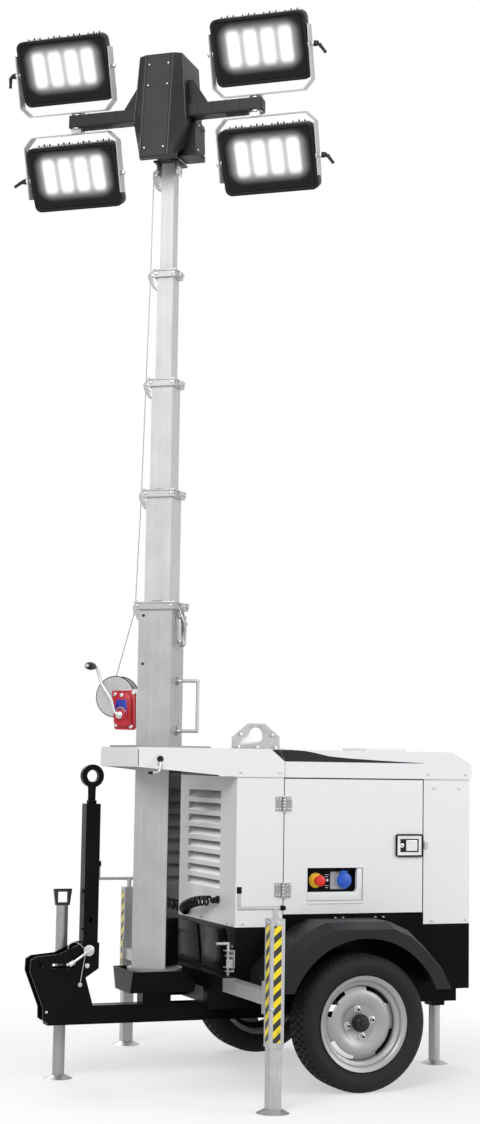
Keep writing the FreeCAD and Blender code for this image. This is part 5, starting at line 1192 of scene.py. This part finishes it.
# Mast collars: a thin flange over each section's mouth, adjusting blocks with
# bright bolts round it, and the plastic slide pads just visible under the next.
flange_zinc = galvanised("flange_zinc", (0.5, 0.5, 0.51), 0.4)
for k in range(4):
    half, top = WIDE[k] / 2 + 13, TOPS[k]
    inner = WIDE[k + 1] / 2 + 1.5
    rim = [cut_plate([(-half - 5, -half - 5), (half + 5, -half - 5), (half + 5, -inner), (-half - 5, -inner)], top - 1,
                     top + 4, "z", 1),
           cut_plate([(-half - 5, inner), (half + 5, inner), (half + 5, half + 5), (-half - 5, half + 5)], top - 1,
                     top + 4, "z", 1),
           cut_plate([(-half - 5, -inner), (-inner, -inner), (-inner, inner), (-half - 5, inner)], top - 1, top + 4,
                     "z", 1),
           slab((13, 34, 18), (-half - 6, 0, top - 12), 1.5), slab((34, 13, 18), (0, -half - 6, top - 12), 1.5)]
    in_mast(weld(rim), "collar_flange_%d" % (k + 1), flange_zinc, BODIES[k])
    bolts = [barrel(5.5, 6, (side * (half - 12), half + 3, top - 12), "y", 1.5, 6) for side in (-1, 1)]
    bolts += [barrel(5.5, 6, (-half - 3, side * (half - 10), top - 12), "x", 1.5, 6) for side in (-1, 1)]
    bolts += [barrel(5, 8, (-half - 15, side * 9, top - 12), "x", 1.5, 6) for side in (-1, 1)]
    bolts += [barrel(5, 8, (side * (half - 4), side_y * (half - 4), top + 7), "z", 1.5, 6)
              for side in (-1, 1) for side_y in (-1, 1)]
    in_mast(weld(bolts), "collar_bolts_%d" % (k + 1), bolt_steel, BODIES[k])
    pads = [slab((inner * 0.8, 3, 6), (0, side * (inner + 1.5), top + 6), 0.8) for side in (-1, 1)]
    in_mast(weld(pads), "slide_pads_%d" % (k + 1), gasket_black, BODIES[k])
plugs = [barrel(6, 2, (51, 73, z), "y", 0.6, 24) for z in (1658, 1856)]
in_mast(weld(plugs), "mast_plugs", gasket_black, "mast_base")

# Section lock: curved cam lever on a bracket with two pins, on the mast's other
# side, and the bolted flanges of the turning handle.
cam = [bent_bar([(-84, 24, 1893), (-92, 24, 1872), (-98, 26, 1858), (-112, 26, 1826), (-114, 26, 1796),
                 (-103, 26, 1764), (-108, 26, 1738)], 6.5, 16),
       barrel(10, 60, (-90, 0, 1852), "y", 2, 24), barrel(9, 60, (-90, 0, 1748), "y", 2, 24),
       barrel(5, 66, (-90, 0, 1852), "y", 1.5, 6), barrel(5, 66, (-90, 0, 1748), "y", 1.5, 6)]
in_mast(weld(cam), "section_lock", hinge_zinc, "mast_base")
cam_plates = [cut_plate(eased([(-73, 1730), (-96, 1734), (-100, 1760), (-96, 1850), (-90, 1872), (-73, 1874)], 8),
                        y - 1.5, y + 1.5, "y", 0.6) for y in (-27, 27)]
in_mast(weld(cam_plates + [slab((4, 58, 150), (-74.5, 0, 1800), 1)]), "lock_bracket", zinc, "mast_base")
flanges = []
for z in (1387, 1591):
    flanges += [barrel(18, 4, (-75.5, 0, z), "x", 1), barrel(11, 16, (-84, 0, z), "x", 2, 24),
                barrel(4.5, 6, (-79, 0, z + 14), "x", 1, 6), barrel(4.5, 6, (-79, 0, z - 14), "x", 1, 6)]
in_mast(weld(flanges), "handle_flanges", zinc, "mast_base")
# Painted shade: a thin glossy black sheet on the mast's side face below the canopy, standing in for the dark shade and
# reflection on that face.
mast_shade_black = finish("mast_shade_black", (0.012, 0.012, 0.012), 0.16, drift=0.1, grain=0.02, shine=0.45)
in_mast(slab((1.6, 138, 868), (-73.4, 0, 876), 0.4), "mast_shade_sheet", mast_shade_black, "mast_base")

# Drawbar head: black bolts through both cheeks, a pressed rib at the foot, and the
# pivot's zinc washer with the locking lever, spring pin and its wire lanyard.
head_bolts = []
for side in (1, -1):
    head_bolts += [barrel(7, 6, (x, side * 45.5, z), "y", 1.5, 6) for x, z in
                   ((1090, 381), (1092, 333), (989, 330), (1118, 417), (1086, 418), (1043, 418), (1021, 418),
                    (959, 300))]
    head_bolts.append(bent_bar([(1010, side * 43.5, 266), (948, side * 43.5, 267), (940, side * 43.5, 260),
                                (948, side * 43.5, 252), (1068, side * 43.5, 250), (1076, side * 43.5, 257),
                                (1068, side * 43.5, 265), (1010, side * 43.5, 266)], 2.4, 5))
settle(weld(head_bolts), "head_bolts", AT_AXLE, chassis_black, "chassis")
bright = [barrel(6, 6, (1117, side * 45.5, 276), "y", 1.5, 6) for side in (1, -1)]
settle(weld(bright), "head_bright_bolts", AT_AXLE, bolt_steel, "chassis")
lever = [barrel(22, 5, (951, 57, 512), "y", 1.5, 40), barrel(12, 12, (951, 61, 512), "y", 2, 6),
         rod((958, 64, 508), (1016, 62, 468), 5.5), rod((1012, 62, 470), (1034, 61, 457), 10.5),
         barrel(10, 12, (956, 49, 452), "y", 3, 24)]
settle(weld(lever), "pivot_lever", AT_AXLE, bolt_steel, "chassis")
pin = [bent_bar([(968, 64, 498), (971, 58, 470), (982, 55, 400), (984, 54, 382)], 1.8, 8),
       barrel(9, 12, (984, 50, 378), "y", 3, 24),
       bent_bar([(1036, 48, 520), (1030, 48, 540), (1010, 48, 548), (988, 50, 538), (968, 56, 516)], 1.4, 12)]
settle(weld(pin), "spring_pin", AT_AXLE, zinc, "chassis")

# Towing eye: forged neck with a coarse thread into the arm's nut.
neck = [rod((938, 0, 1102), (938, 0, 1162), 14, 17)]
neck += [hoop(14.2, 2.4, (938, 0, 1106 + 6.2 * k), 32) for k in range(6)]
neck.append(barrel(21, 13, (938, 0, 1096), "z", 2, 6))
settle(weld(neck), "eye_neck", AT_AXLE, chassis_black, "towing_arm")
arm_studs = [barrel(5, 5, (970, 12, 742), "x", 1.2, 6), barrel(5, 5, (970, 12, 593), "x", 1.2, 6),
             barrel(6, 4, (942, 31.5, 948), "y", 1.2, 24), barrel(6, 4, (942, -31.5, 948), "y", 1.2, 24)]
settle(weld(arm_studs), "arm_studs", AT_AXLE, chassis_black, "towing_arm")

# Front of the base: two pressed black panels on the end wall, and the bent zinc
# brackets that hold the outriggers' locking pins.
panels = [cut_plate([(side * 4, 444), (side * 52, 600), (side * 246, 606), (side * 326, 444)], 452, 459, "x", 2)
          for side in (1, -1)]
settle(weld(panels), "base_panels", AT_AXLE, belt_black, "chassis")
holders = []
for side in (1, -1):
    holders += [slab((34, 40, 3.5), (470, side * 350, 466), 1), slab((34, 40, 3.5), (470, side * 350, 530), 1),
                slab((3.5, 40, 66), (454, side * 350, 498), 1), slab((26, 3.5, 30), (474, side * 369, 482), 1),
                barrel(5, 4, (457, side * 350, 545), "x", 1, 6)]
settle(weld(holders), "pin_brackets", AT_AXLE, zinc, "chassis")

bpy.data.objects.remove(screw_master)
